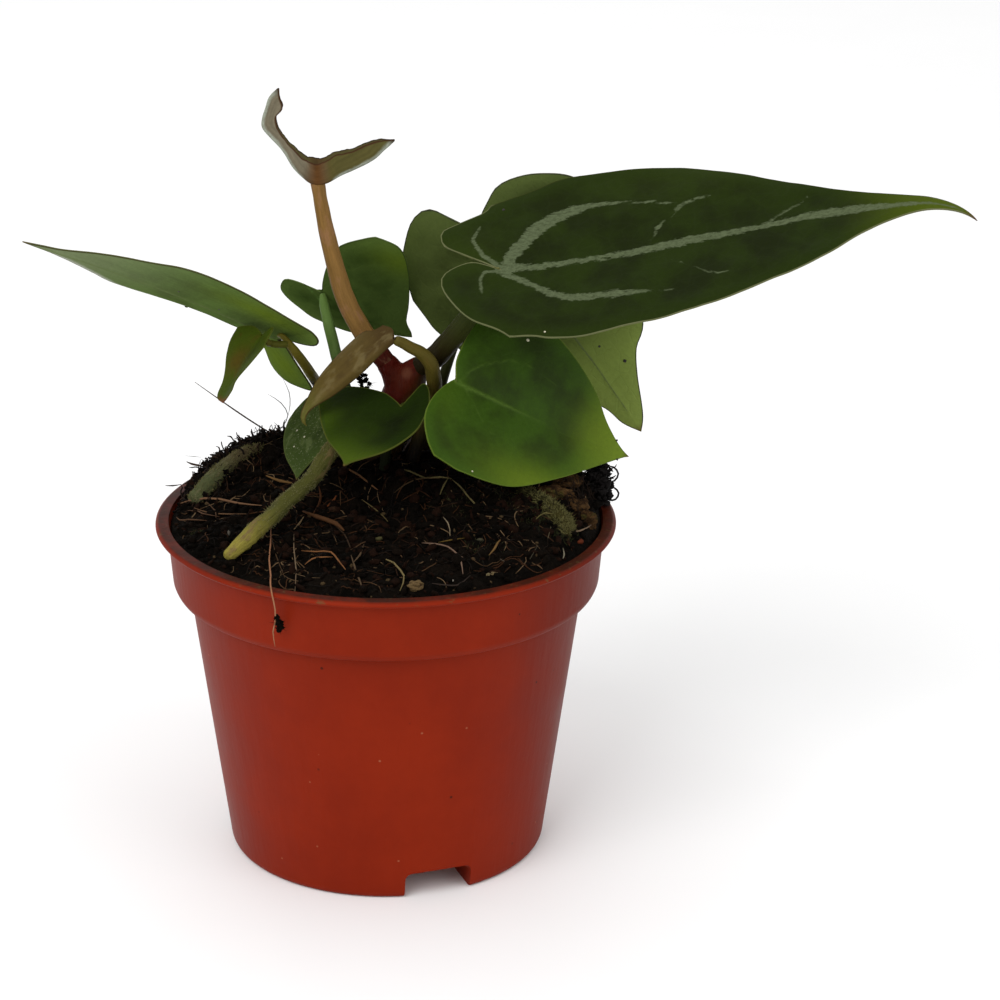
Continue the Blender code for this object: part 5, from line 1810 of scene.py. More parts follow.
@dataclass(frozen=True)
class PotFinish:
    """Matt terracotta-coloured moulded plastic, lightly soiled and scratched, with painted shade on its
    sides.
    """

    deep: str = "751d08"
    bright: str = "7e2109"
    soil: str = "2c2010"
    dust: str = "9a6248"
    painted_side_shade: str = "4a1104"
    rim_soil: str = "32140a"
    grime: str = "56472a"
    fleck: str = "2c140c"
    # Painted shade: half width or place across over which both sides, the right side more, grow darker, and
    # how much
    side_shade_span: Spot = (28, 57)
    right_shade_span: Spot = (20, 54)
    side_shade_strength: float = 0.35
    # Inside of the wall, held against the wall's own taper
    taper: float = 0.075
    inside: Spot = (50.1, 49.7)
    inside_heights: Spot = (73, 76)
    soil_line: Spot = (84, 89)
    ledge_radii: Spot = (59.9, 58.8)
    ledge_heights: Spot = (89.2, 90)
    grime_heights: Spot = (88.6, 89.6)

    def material(self) -> bpy.types.Material:
        """Build the plastic.

        Returns:
            The material.
        """
        g = Graph("pot_plastic_skin")
        place = g.room()
        height = g.part(place, "Z")
        cloud = g.noise(place, 0.035, 4.0, 0.6)
        fine = g.noise(place, 0.5, 4.0, 0.65)
        pull = g.noise(g.room((1.0, 1.0, 0.04)), 0.35, 3.0)
        colour = g.mix(g.band(cloud, 0.3, 0.7), tone(self.deep), tone(self.bright))
        colour = g.shade(colour, fine, 0.96, 1.04)
        colour = g.shade(colour, pull, 0.97, 1.03)
        # Painted shade, darker towards both sides and more on the right
        sides = g.band(g.math("ABSOLUTE", g.part(place, "X")), *self.side_shade_span, 0.0, self.side_shade_strength)
        right = g.band(g.part(place, "X"), *self.right_shade_span, 0.0, self.side_shade_strength)
        colour = g.tint(g.plus(sides, right), colour, self.painted_side_shade)
        rim = g.plus(height, g.times(g.minus(g.noise(place, 0.25, 4.0), 0.5), 5.0))
        radius = self.radius(g, place)
        wall = g.minus(radius, g.times(height, self.taper))
        inner = g.times(g.band(wall, *self.inside), g.band(height, *self.inside_heights))
        colour = g.tint(g.times(inner, g.band(rim, *self.soil_line, 0.85, 0.35)), colour, self.soil)
        cover = g.noise(place, 0.12, 5.0, 0.7)
        ledge = g.times(g.band(radius, *self.ledge_radii), g.band(height, *self.ledge_heights))
        colour = g.tint(g.times(ledge, g.band(cover, 0.3, 0.6, 0.6, 0.97)), colour, self.rim_soil)
        grime = g.times(g.band(g.noise(place, 0.45, 4.0, 0.7), 0.58, 0.70),
                        g.band(height, *self.grime_heights))
        colour = g.tint(g.times(grime, 0.6), colour, self.grime)
        flecks = g.band(g.cells(place, 0.16, False), 0.075, 0.045)
        flecks = g.times(flecks, g.band(g.noise(place, 0.06, 2.0), 0.50, 0.60))
        colour = g.tint(g.times(flecks, 0.8), colour, self.fleck)
        dots = g.band(g.cells(g.room((0.93, 1.07, 1.0)), 0.11, False), 0.045, 0.025)
        colour = g.tint(g.times(dots, 0.6), colour, self.dust)
        scratch = g.band(g.noise(g.room((0.9, 0.9, 0.16)), 0.9, 5.0, 0.7), 0.71, 0.76, 0.0, 0.22)
        colour = g.tint(scratch, colour, self.dust)
        relief = g.bump(g.plus(g.times(fine, 0.4), pull), 0.10)
        return g.finish(colour, g.band(cloud, 0.3, 0.7, 0.40, 0.48), relief, Specular_IOR_Level=0.05)

    def radius(self, g: Graph, place: bpy.types.NodeSocket) -> bpy.types.NodeSocket:
        """Distance from the pot's axis."""
        flat = g.node("ShaderNodeVectorMath", {0: place, 1: (1.0, 1.0, 0.0)}, operation="MULTIPLY").outputs[0]
        return g.node("ShaderNodeVectorMath", {0: flat}, operation="LENGTH").outputs["Value"]


@dataclass(frozen=True)
class Pot:
    """Thin-walled nursery pot with a wide band, a small lip and three drain pockets."""

    height: float = 90.3
    lip_radius: float = 60.0
    lip_depth: float = 1.8
    band_top_radius: float = 56.9
    band_foot_radius: float = 55.7
    band_foot_height: float = 72.0
    body_top_radius: float = 51.4
    base_radius: float = 41.7
    wall: float = 1.2
    floor: float = 1.4
    pocket_azimuths: tuple = (-69.5, 50.5, 170.5)
    pocket_width: float = 18.0
    pocket_height: float = 6.0
    pocket_lip: float = 2.3
    pocket_inner_radius: float = 26.0
    drain_slot: Spot = (9, 3)
    drain_slot_radius: float = 32.0
    pocket_corner: float = 1.6
    corner_reach: float = 0.45
    sides: int = 180
    finish: PotFinish = PotFinish()

    def inner_profile(self) -> list[Spot]:
        """Radius and height of the inside wall, from the floor to the rim."""
        return [
            (self.base_radius - self.wall - 1.2, self.floor),
            (self.base_radius - self.wall, self.floor + 1.2),
            (self.body_top_radius - self.wall, self.band_foot_height),
            (self.band_foot_radius - self.wall - 1.0, self.band_foot_height + 1.2),
            (self.band_foot_radius - self.wall, self.band_foot_height + 2.6),
            (self.band_top_radius - self.wall + 0.4, self.height - 2.0),
            (self.band_top_radius - self.wall + 0.9, self.height),
        ]

    def outer_profile(self) -> list[Spot]:
        """Radius and height of the outside, from the middle of the base to the rim.

        Returns:
            Stations as radius and height.
        """
        foot = self.band_foot_height
        lip = self.height - self.lip_depth
        return [
            (0.0, 0.0), (self.pocket_inner_radius - 2.0, 0.0), (self.base_radius - 1.5, 0.0),
            (self.base_radius - 0.4, 0.4), (self.base_radius + 0.1, 1.5), (self.body_top_radius, foot - 0.6),
            (self.body_top_radius + 0.6, foot), (self.band_foot_radius - 2.2, foot),
            (self.band_foot_radius - 0.7, foot + 0.7), (self.band_foot_radius, foot + 2.2),
            (self.band_top_radius, lip - 0.8), (self.band_top_radius + 0.8, lip - 0.1),
            (self.lip_radius - 0.7, lip + 0.1), (self.lip_radius, lip + 0.8),
            (self.lip_radius - 0.1, self.height - 0.6), (self.lip_radius - 0.8, self.height),
            (0.0, self.height),
        ]

    def soften(self, profile: list[Spot]) -> list[Spot]:
        """Round the corners of a profile a little.

        Args:
            profile: Stations as radius and height.

        Returns:
            The longer profile.
        """
        made = [profile[0]]
        for before, here, after in zip(profile, profile[1:], profile[2:]):
            into = Vector(before) - Vector(here)
            out = Vector(after) - Vector(here)
            reach = min(self.corner_reach, into.length * 0.3, out.length * 0.3)
            start = Vector(here) + into.normalized() * reach
            end = Vector(here) + out.normalized() * reach
            middle = (start + end) * 0.25 + Vector(here) * 0.5
            made += [tuple(start), tuple(middle), tuple(end)]
        made.append(profile[-1])
        return made

    def spin(self, name: str, profile: list[Spot]) -> bpy.types.Object:
        """Closed body turned about the upright axis; the profile starts and ends on it.

        Args:
            name: Name of the body.
            profile: Stations as radius and height.

        Returns:
            The body.
        """
        points = [(0.0, 0.0, profile[0][1])]
        inner = profile[1:-1]
        for radius, height in inner:
            for side in range(self.sides):
                angle = TURN * (side + 0.5) / self.sides
                points.append((radius * math.cos(angle), radius * math.sin(angle), height))
        points.append((0.0, 0.0, profile[-1][1]))
        faces = []
        top = len(points) - 1
        rim = 1 + (len(inner) - 1) * self.sides
        for side in range(self.sides):
            beside = (side + 1) % self.sides
            faces.append((0, 1 + beside, 1 + side))
            faces.append((top, rim + side, rim + beside))
            for ring in range(len(inner) - 1):
                here = 1 + ring * self.sides
                above = here + self.sides
                faces.append((here + side, here + beside, above + beside, above + side))
        return self.helper(name, points, faces)

    def helper(self, name: str, points: list, faces: list) -> bpy.types.Object:
        """Object used to build the pot and then removed.

        Args:
            name: Name of the object.
            points: Places in millimetres.
            faces: Faces as point numbers.

        Returns:
            The object, linked to the scene.
        """
        mesh = bpy.data.meshes.new(name)
        mesh.from_pydata((np.array(points, dtype=float) * MM).tolist(), [], faces)
        work = bmesh.new()
        work.from_mesh(mesh)
        bmesh.ops.recalc_face_normals(work, faces=work.faces)
        work.to_mesh(mesh)
        work.free()
        made = bpy.data.objects.new(name, mesh)
        bpy.context.scene.collection.objects.link(made)
        return made

    def pocket(self, azimuth: float, grow: float) -> bpy.types.Object:
        """Wedge-topped block of one drain pocket, grown by a wall.

        Args:
            azimuth: Bearing of the pocket in degrees.
            grow: Thickness of the wall.

        Returns:
            The block.
        """
        half = self.pocket_width / 2.0 + grow
        inner = self.pocket_inner_radius - grow
        outer = self.base_radius + 6.0
        brow = self.base_radius - 2.2
        top = self.pocket_height + grow
        corner = self.pocket_corner
        section = []
        for share in range(6):
            angle = math.pi / 2 * share / 5
            section.append((half - corner + corner * math.sin(angle), -corner + corner * math.cos(angle)))
        outline = [(-y, drop) for y, drop in reversed(section)] + section
        turn = upright_turn(azimuth)
        stations = ((inner, top), (brow, top), (outer, top + self.pocket_lip * 1.8))
        points = []
        for reach, roof in stations:
            points += [turn @ Vector((reach, y, roof + drop)) for y, drop in outline]
            points += [turn @ Vector((reach, half, -2.0)), turn @ Vector((reach, -half, -2.0))]
        count = len(outline) + 2
        faces = [tuple(range(count)), tuple(reversed(range(2 * count, 3 * count)))]
        for ring in range(2):
            for index in range(count):
                after = (index + 1) % count
                base = ring * count
                faces.append((base + index, base + after, base + count + after, base + count + index))
        return self.helper("pocket", points, faces)

    def slot(self, azimuth: float) -> bpy.types.Object:
        """Slot through the roof of a drain pocket.

        Args:
            azimuth: Bearing of the pocket in degrees.

        Returns:
            The block that cuts the slot.
        """
        length, width = self.drain_slot
        turn = upright_turn(azimuth)
        corners = ((-width, -length), (width, -length), (width, length), (-width, length))
        points = [turn @ Vector((self.drain_slot_radius + x / 2, y / 2, height))
                  for height in (self.pocket_height - 1.0, self.pocket_height + 3.0) for x, y in corners]
        faces = [(0, 1, 2, 3), (4, 5, 6, 7), (0, 1, 5, 4), (1, 2, 6, 5), (2, 3, 7, 6), (3, 0, 4, 7)]
        return self.helper("slot", points, faces)

    def cut(self, body: bpy.types.Object, tool: bpy.types.Object) -> None:
        """Take the tool's volume out of the body, for good.

        Args:
            body: The body that is cut.
            tool: The cutter, removed afterwards.
        """
        change = body.modifiers.new("cut", "BOOLEAN")
        change.operation = "DIFFERENCE"
        change.solver = "EXACT"
        change.object = tool
        made = bpy.data.meshes.new_from_object(body.evaluated_get(bpy.context.evaluated_depsgraph_get()))
        body.modifiers.clear()
        body.data = made
        bpy.data.objects.remove(tool, do_unlink=True)

    def build(self) -> bpy.types.Object:
        """Build the pot in the place of its CAD node.

        Returns:
            The piece.
        """
        body = self.spin("body", self.soften(self.outer_profile()))
        inner = [(0.0, self.floor)] + self.inner_profile()
        inner += [(self.band_top_radius - self.wall + 1.5, self.height + 2.0), (0.0, self.height + 2.0)]
        hollow = self.spin("hollow", self.soften(inner))
        for azimuth in self.pocket_azimuths:
            self.cut(hollow, self.pocket(azimuth, self.wall))
            self.cut(body, self.pocket(azimuth, 0.0))
        self.cut(body, hollow)
        for azimuth in self.pocket_azimuths:
            self.cut(body, self.slot(azimuth))
        mesh = body.data.copy()
        bpy.data.objects.remove(body, do_unlink=True)
        mesh.materials.clear()
        mesh.materials.append(self.finish.material())
        return settle("pot_skin", mesh, "pot_plastic", "pot", sharp=32.0)


POT = Pot()


@dataclass(frozen=True)
class SoilFinish:
    """Damp dark potting mix; the kind mark runs from black peat to red and pale bits."""

    name: str = "soil_mix_skin"
    peat: str = "060402"
    crust: str = "0e0905"
    grain: str = "1e120b"
    red: str = "1e1009"
    pale: str = "4a3c28"

    def material(self) -> bpy.types.Material:
        """Build the skin, or return the one already built.

        Returns:
            The material.
        """
        found = bpy.data.materials.get(self.name)
        if found is not None:
            return found
        g = Graph(self.name)
        place = g.room()
        cloud = g.noise(place, 0.10, 4.0, 0.6)
        fine = g.noise(place, 1.1, 5.0, 0.7)
        kind = g.mark("kind")
        colour = g.mix(g.band(cloud, 0.42, 0.62), tone(self.peat), tone(self.crust))
        colour = g.tint(g.band(fine, 0.56, 0.72, 0.0, 0.6), colour, self.grain)
        colour = g.tint(g.band(kind, 0.55, 0.75, 0.0, 0.8), colour, self.red)
        colour = g.tint(g.band(kind, 0.95, 0.98), colour, self.pale)
        colour = g.shade(colour, fine, 0.45, 1.55)
        rough = g.band(fine, 0.3, 0.7, 0.95, 0.70)
        return g.finish(colour, rough, g.bump(fine, 0.8), Specular_IOR_Level=0.04)


@dataclass(frozen=True)
class Soil:
    """Potting mix in the pot: a lumpy top with crumbs, chaff and random fibres."""

    edge_height: float = 88.6
    rise: float = 5.8
    rise_swing: float = 3.6
    high_azimuth: float = 50.0
    shoulder: float = 6.0
    shoulder_swing: float = 3.8
    edge_fall: float = 1.6
    lump: float = 1.5
    lump_size: float = 7.0
    # Height, grain and offset of the cloudy, the ridged and the fine crumble of the top
    crumble: tuple = ((1, 3.1, 7), (0.7, 1.7, 3), (0.35, 0.8, 9))
    # Distance from the wall over which lumps and crumble grow to their full height
    calm_reach: float = 4.0
    mounds: tuple = (
        (0, 18, 3, 20), (-26, 39, 2.4, 9), (-41, 31, 4.8, 9), (-51, 18, 4, 6), (50, 14, 3, 7),
    )
    clearance: float = 0.3
    grid: int = 170
    # Height and inset from the pot's wall of the rings below the top
    rings: tuple = ((84, 0.3), (75, 0.3), (73, 0.3), (71, 0.3), (12.5, 0.3), (10.4, 2), (9, 6))
    floor_height: float = 9.0
    crumbs: int = 3000
    # Least size of a crumb, and how much larger the rarest are
    crumb_size: Spot = (0.45, 1.25)
    large_crumb: float = 1.1
    # Kind above which a crumb is pale, size up to which it may be, and kind of the larger ones
    pale_crumb: Place = (0.93, 0.8, 0.6)
    crumb_reach: float = 54.6
    # Shares of a crumb's size along its three axes
    crumb_spans: tuple = ((0.7, 1.5), (0.6, 1.0), (0.4, 0.8))
    edge_crumbs: int = 420
    edge_arc: Spot = (112, 176)
    edge_reach: float = 54.0
    edge_depth: float = 9.0
    edge_sizes: Spot = (0.6, 1.6)
    edge_lifts: Spot = (-0.8, 0.5)
    threads: int = 900
    thread_reach: float = 53.5
    thread_limit: float = 55.0
    thread_steps: int = 6
    thread_lengths: Spot = (3, 15)
    thread_lifts: Spot = (0, 0.5)
    thread_turns: Spot = (-0.7, 0.7)
    thread_radii: Spot = (0.06, 0.17)
    wires: int = 460
    wire_arc: Spot = (112, 178)
    wire_limit: float = 62.0
    wire_reaches: Spot = (43, 54.5)
    wire_lifts: Spot = (-0.6, 0.4)
    wire_lengths: Spot = (1.6, 5.8)
    wire_radii: Spot = (0.12, 0.36)
    wire_kinds: Spot = (0, 0.62)
    wire_steps: int = 5
    wire_kink: float = 0.75
    wire_droop: float = 0.12
    wire_sink: float = 0.6
    # Threads that stand out at the back left and at the right edge
    wild_arcs: tuple = ((105, 178), (-12, 25))
    wild_reaches: Spot = (44, 55)
    wild_lengths: Spot = (3, 9)
    wild_lifts: Spot = (1, 4)
    # Clump of wiry peat at the right edge
    clump: Place = (55.2, 10.5, 95.4)
    clump_lumps: int = 300
    clump_limit: float = 60.2
    clump_spans: tuple = ((-2.4, 2.2), (-3.5, 4), (-4, 3.4))
    clump_sizes: Spot = (0.45, 1.15)
    clump_lengths: Spot = (1.6, 4)
    clump_radii: Spot = (0.12, 0.3)

    def wall_radius(self, height: float) -> float:
        """Radius of the soil at a height, one clearance inside the pot.

        Args:
            height: Height above the floor.

        Returns:
            The radius in millimetres.
        """
        profile = POT.inner_profile()
        for (low_radius, low), (high_radius, high) in zip(profile, profile[1:]):
            if height <= high:
                share = max(0.0, (height - low) / (high - low))
                return low_radius + (high_radius - low_radius) * share - self.clearance
        return profile[-1][0] - self.clearance

    def plain_top(self, x: float, y: float) -> float:
        """Height of the CAD soil's top over a point.

        Args:
            x: Millimetres to the right.
            y: Millimetres to the back.

        Returns:
            The height in millimetres.
        """
        bearing = math.atan2(y, x) - math.radians(self.high_azimuth)
        rise = self.rise + self.rise_swing * math.cos(bearing)
        shoulder = self.shoulder - self.shoulder_swing * math.cos(bearing)
        inward = max(0.0, self.wall_radius(POT.height) - math.hypot(x, y))
        mound = 0.0
        for centre_x, centre_y, height, spread in self.mounds:
            away = (x - centre_x) ** 2 + (y - centre_y) ** 2
            mound += height * math.exp(-away / (2.0 * spread ** 2))
        mound *= 1.0 - math.exp(-inward / self.edge_fall)
        lumps = noise.noise(Vector((x, y, 0.0)) / self.lump_size)
        lumps += 0.6 * noise.noise(Vector((x, y, 40.0)) * 2.1 / self.lump_size)
        lumps *= self.lump * min(1.0, inward / self.calm_reach)
        return self.edge_height + rise * (1.0 - math.exp(-inward / shoulder)) + mound + lumps

    def top(self, x: float, y: float) -> float:
        """Height of the crumbly top over a point.

        Args:
            x: Millimetres to the right.
            y: Millimetres to the back.

        Returns:
            The height in millimetres.
        """
        inward = max(0.0, self.wall_radius(POT.height) - math.hypot(x, y))
        cloudy, ridged, fine = (height * noise.noise(Vector((x, y, offset)) / grain)
                                for height, grain, offset in self.crumble)
        share = min(1.0, 0.3 + inward / self.calm_reach)
        return self.plain_top(x, y) + (cloudy + abs(ridged) + fine) * share

    def lay(self, spots: tuple, lift: float) -> tuple:
        """Places over the soil for flat spots."""
        return tuple((x, y, self.top(x, y) + lift) for x, y in spots)

    def bed(self) -> bpy.types.Object:
        """Build the body of the soil in the place of its CAD node.

        Returns:
            The piece.
        """
        shape = Shape()
        count = self.grid + 1
        radius = self.wall_radius(self.edge_height) - 0.05
        points = []
        for row in range(count):
            for column in range(count):
                u = 2.0 * column / self.grid - 1.0
                v = 2.0 * row / self.grid - 1.0
                x = radius * u * math.sqrt(1.0 - v * v / 2.0)
                y = radius * v * math.sqrt(1.0 - u * u / 2.0)
                points.append((x, y, self.top(x, y)))
        faces = []
        for row in range(self.grid):
            for column in range(self.grid):
                here = row * count + column
                faces.append((here, here + 1, here + count + 1, here + count))
        border = list(range(self.grid))
        border += [row * count + self.grid for row in range(self.grid)]
        border += [self.grid * count + column for column in range(self.grid, 0, -1)]
        border += [row * count for row in range(self.grid, 0, -1)]
        ring = border
        for height, inset in self.rings:
            reach = self.wall_radius(height) - inset
            base = len(points)
            for number in border:
                x, y, _ = points[number]
                scale = reach / math.hypot(x, y)
                points.append((x * scale, y * scale, height))
            fresh = list(range(base, base + len(border)))
            for index in range(len(border)):
                after = (index + 1) % len(border)
                faces.append((ring[index], fresh[index], fresh[after], ring[after]))
            ring = fresh
        points.append((0.0, 0.0, self.floor_height))
        hub = len(points) - 1
        faces += [(ring[index], hub, ring[(index + 1) % len(ring)]) for index in range(len(ring))]
        shape.add(points, faces, kind=0.0)
        return shape.make("soil_bed", [SoilFinish().material()], "soil_mix", "soil")

    def litter(self) -> bpy.types.Object:
        """Build the loose crumbs, thicker and blacker along the back left.

        Returns:
            The piece.
        """
        shape = Shape()
        dice = Dice(5)
        pale_kind, pale_size, dull_kind = self.pale_crumb
        for number in range(self.crumbs):
            reach = self.crumb_reach * math.sqrt(dice.between(0.0, 1.0))
            angle = dice.between(0.0, TURN)
            x, y = reach * math.cos(angle), reach * math.sin(angle)
            size = self.crumb_size[0] + self.crumb_size[1] * dice.between(0.0, 1.0) ** 3
            detail = 2 if size > self.large_crumb else 1
            kind = dice.between(0.0, 1.0)
            if kind > pale_kind and size > pale_size:
                kind = dull_kind
            half = tuple(size * dice.between(*span) for span in self.crumb_spans)
            centre = Vector((x, y, self.top(x, y) + size * 0.15))
            add_lump(shape, centre, half, any_turn(dice), detail, 0.45, number * 0.37, kind=kind)
        for number in range(self.edge_crumbs):
            angle = math.radians(dice.between(*self.edge_arc))
            reach = self.edge_reach - abs(dice.between(-self.edge_depth, self.edge_depth))
            x, y = reach * math.cos(angle), reach * math.sin(angle)
            size = dice.between(*self.edge_sizes)
            lift = dice.between(*self.edge_lifts)
            half = (size * dice.between(0.8, 1.8), size * 0.7, size * dice.between(0.5, 0.9))
            centre = Vector((x, y, self.top(x, y) + lift))
            add_lump(shape, centre, half, any_turn(dice), 2, 0.6, number * 0.61,
                     kind=dice.between(0.0, 0.5))
        return shape.make("soil_crumbs", [SoilFinish().material()], "soil_mix")

    def edges(self) -> bpy.types.Object:
        """Build the wiry peat and roots that stand out along the back left and at the right edge.

        Returns:
            The piece.
        """
        shape = Shape()
        dice = Dice(17)
        for _ in range(self.wires):
            angle = math.radians(dice.between(*self.wire_arc))
            reach = dice.between(*self.wire_reaches)
            place = Vector((reach * math.cos(angle), reach * math.sin(angle), 0.0))
            place.z = self.top(place.x, place.y) + dice.between(*self.wire_lifts)
            self.wire(shape, dice, place, dice.between(*self.wire_lengths),
                      dice.between(*self.wire_radii), dice.between(*self.wire_kinds))
        for number in range(self.clump_lumps):
            place = Vector(self.clump) + Vector(dice.source.normal(size=3))
            place += Vector([dice.between(*span) for span in self.clump_spans])
            size = dice.between(*self.clump_sizes)
            half = (size * dice.between(0.7, 1.5), size * 0.8, size * dice.between(0.6, 1.0))
            if place.x + half[0] < self.clump_limit:
                add_lump(shape, place, half, any_turn(dice), 2, 0.9, number * 0.7, kind=0.0)
            if number % 2 == 0:
                self.wire(shape, dice, place, dice.between(*self.clump_lengths),
                          dice.between(*self.clump_radii), 0.0)
        skin = ThreadFinish("fibre_peat", "090605", "241509", "4a3826").material()
        return shape.make("soil_edges", [skin], "soil_mix")

    def wire(self, shape: Shape, dice: Dice, place: Vector, length: float, radius: float,
             kind: float) -> None:
        """Add one kinked fibre that rises from a place and bends over.

        Args:
            shape: The shape that grows.
            dice: Source of chance.
            place: Foot of the fibre.
            length: Length of the fibre.
            radius: Half its width.
            kind: Mark of its colour.
        """
        way = (Vector((0.0, 0.0, dice.between(0.1, 1.0))) + dice.way()).normalized()
        line = [place.copy()]
        for _ in range(self.wire_steps):
            place = place + way * (length / self.wire_steps)
            away = math.hypot(place.x, place.y)
            if away > self.wire_limit or place.z < self.top(place.x, place.y) - self.wire_sink:
                break
            line.append(place.copy())
            droop = Vector((0.0, 0.0, self.wire_droop))
            way = (way + dice.way() * self.wire_kink - droop).normalized()
        if len(line) > 2:
            add_thread(shape, line, radius, kind=kind)

    def chaff(self) -> bpy.types.Object:
        """Build the random coir fibres, thickest along the back left and the right edge.

        Returns:
            The piece.
        """
        shape = Shape()
        dice = Dice(11)
        for number in range(self.threads):
            wild = number % 5 == 0
            if wild:
                angle = math.radians(dice.between(*self.wild_arcs[0 if number % 10 else 1]))
                reach = dice.between(*self.wild_reaches)
            else:
                angle = dice.between(0.0, TURN)
                reach = self.thread_reach * math.sqrt(dice.between(0.0, 1.0))
            x, y = reach * math.cos(angle), reach * math.sin(angle)
            heading = dice.between(0.0, TURN)
            length = dice.between(*(self.wild_lengths if wild else self.thread_lengths))
            line = []
            for step in range(self.thread_steps + 1):
                share = step / self.thread_steps
                rise = dice.between(*self.thread_lifts)
                rise += share * dice.between(*self.wild_lifts) if wild else 0.0
                if math.hypot(x, y) > self.thread_limit:
                    break
                line.append(Vector((x, y, self.top(x, y) + rise)))
                heading += dice.between(*self.thread_turns)
                x += math.cos(heading) * length / self.thread_steps
                y += math.sin(heading) * length / self.thread_steps
            if len(line) > 3:
                radius = dice.between(*self.thread_radii)
                kind = 0.2 if wild else dice.between(0.0, 1.0) ** 1.6
                add_thread(shape, line, radius, kind=kind)
        skin = ThreadFinish("fibre_mixed", "0e0905", "38210f", "66523a").material()
        return shape.make("soil_fibres", [skin], "soil_mix")


def add_thread(shape: Shape, line: list[Vector], radius: float, sides: int = 4, **marks: float) -> None:
    """Add a thin fibre along a line, with pointed ends.

    Args:
        shape: The shape that grows.
        line: Stations of the fibre.
        radius: Half the fibre's width.
        sides: Points round the fibre.
        marks: Numbers for the points.
    """
    radii = tuple(radius * (0.35 if index in (0, len(line) - 1) else 1.0) for index in range(len(line)))
    stations = smooth_path(tuple(line), radii, 2)
    points = []
    normal = (stations[1][0] - stations[0][0]).orthogonal().normalized()
    for index, (place, width) in enumerate(stations):
        ahead = stations[min(index + 1, len(stations) - 1)][0]
        behind = stations[max(index - 1, 0)][0]
        way = (ahead - behind).normalized()
        normal = (normal - way * normal.dot(way)).normalized()
        across = way.cross(normal)
        for side in range(sides):
            angle = TURN * side / sides
            points.append(place + (normal * math.cos(angle) + across * math.sin(angle)) * width)
    faces = [*end_faces(len(stations), sides), *wall_faces(len(stations), sides)]
    shape.add(points, faces, **marks)


@dataclass(frozen=True)
class ThreadFinish:
    """Skin of fibres: the kind mark runs from dark through brown to pale."""

    name: str
    dark: str
    brown: str
    pale: str

    def material(self) -> bpy.types.Material:
        """Build the skin.

        Returns:
            The material.
        """
        g = Graph(self.name)
        kind = g.mark("kind")
        colour = g.mix(g.band(kind, 0.10, 0.55), tone(self.dark), tone(self.brown))
        colour = g.tint(g.band(kind, 0.60, 0.95), colour, self.pale)
        cloud = g.noise(g.room(), 0.7, 4.0, 0.65)
        colour = g.shade(colour, cloud, 0.55, 1.45)
        return g.finish(colour, 0.75, g.bump(cloud, 0.1), Specular_IOR_Level=0.1)


SOIL = Soil()


@dataclass(frozen=True)
class Fibre:
    """One fibre or stick that the photograph shows, lying on the soil."""

    name: str
    shade: str
    radius: float
    lift: float
    spots: tuple
    forked: tuple = ()


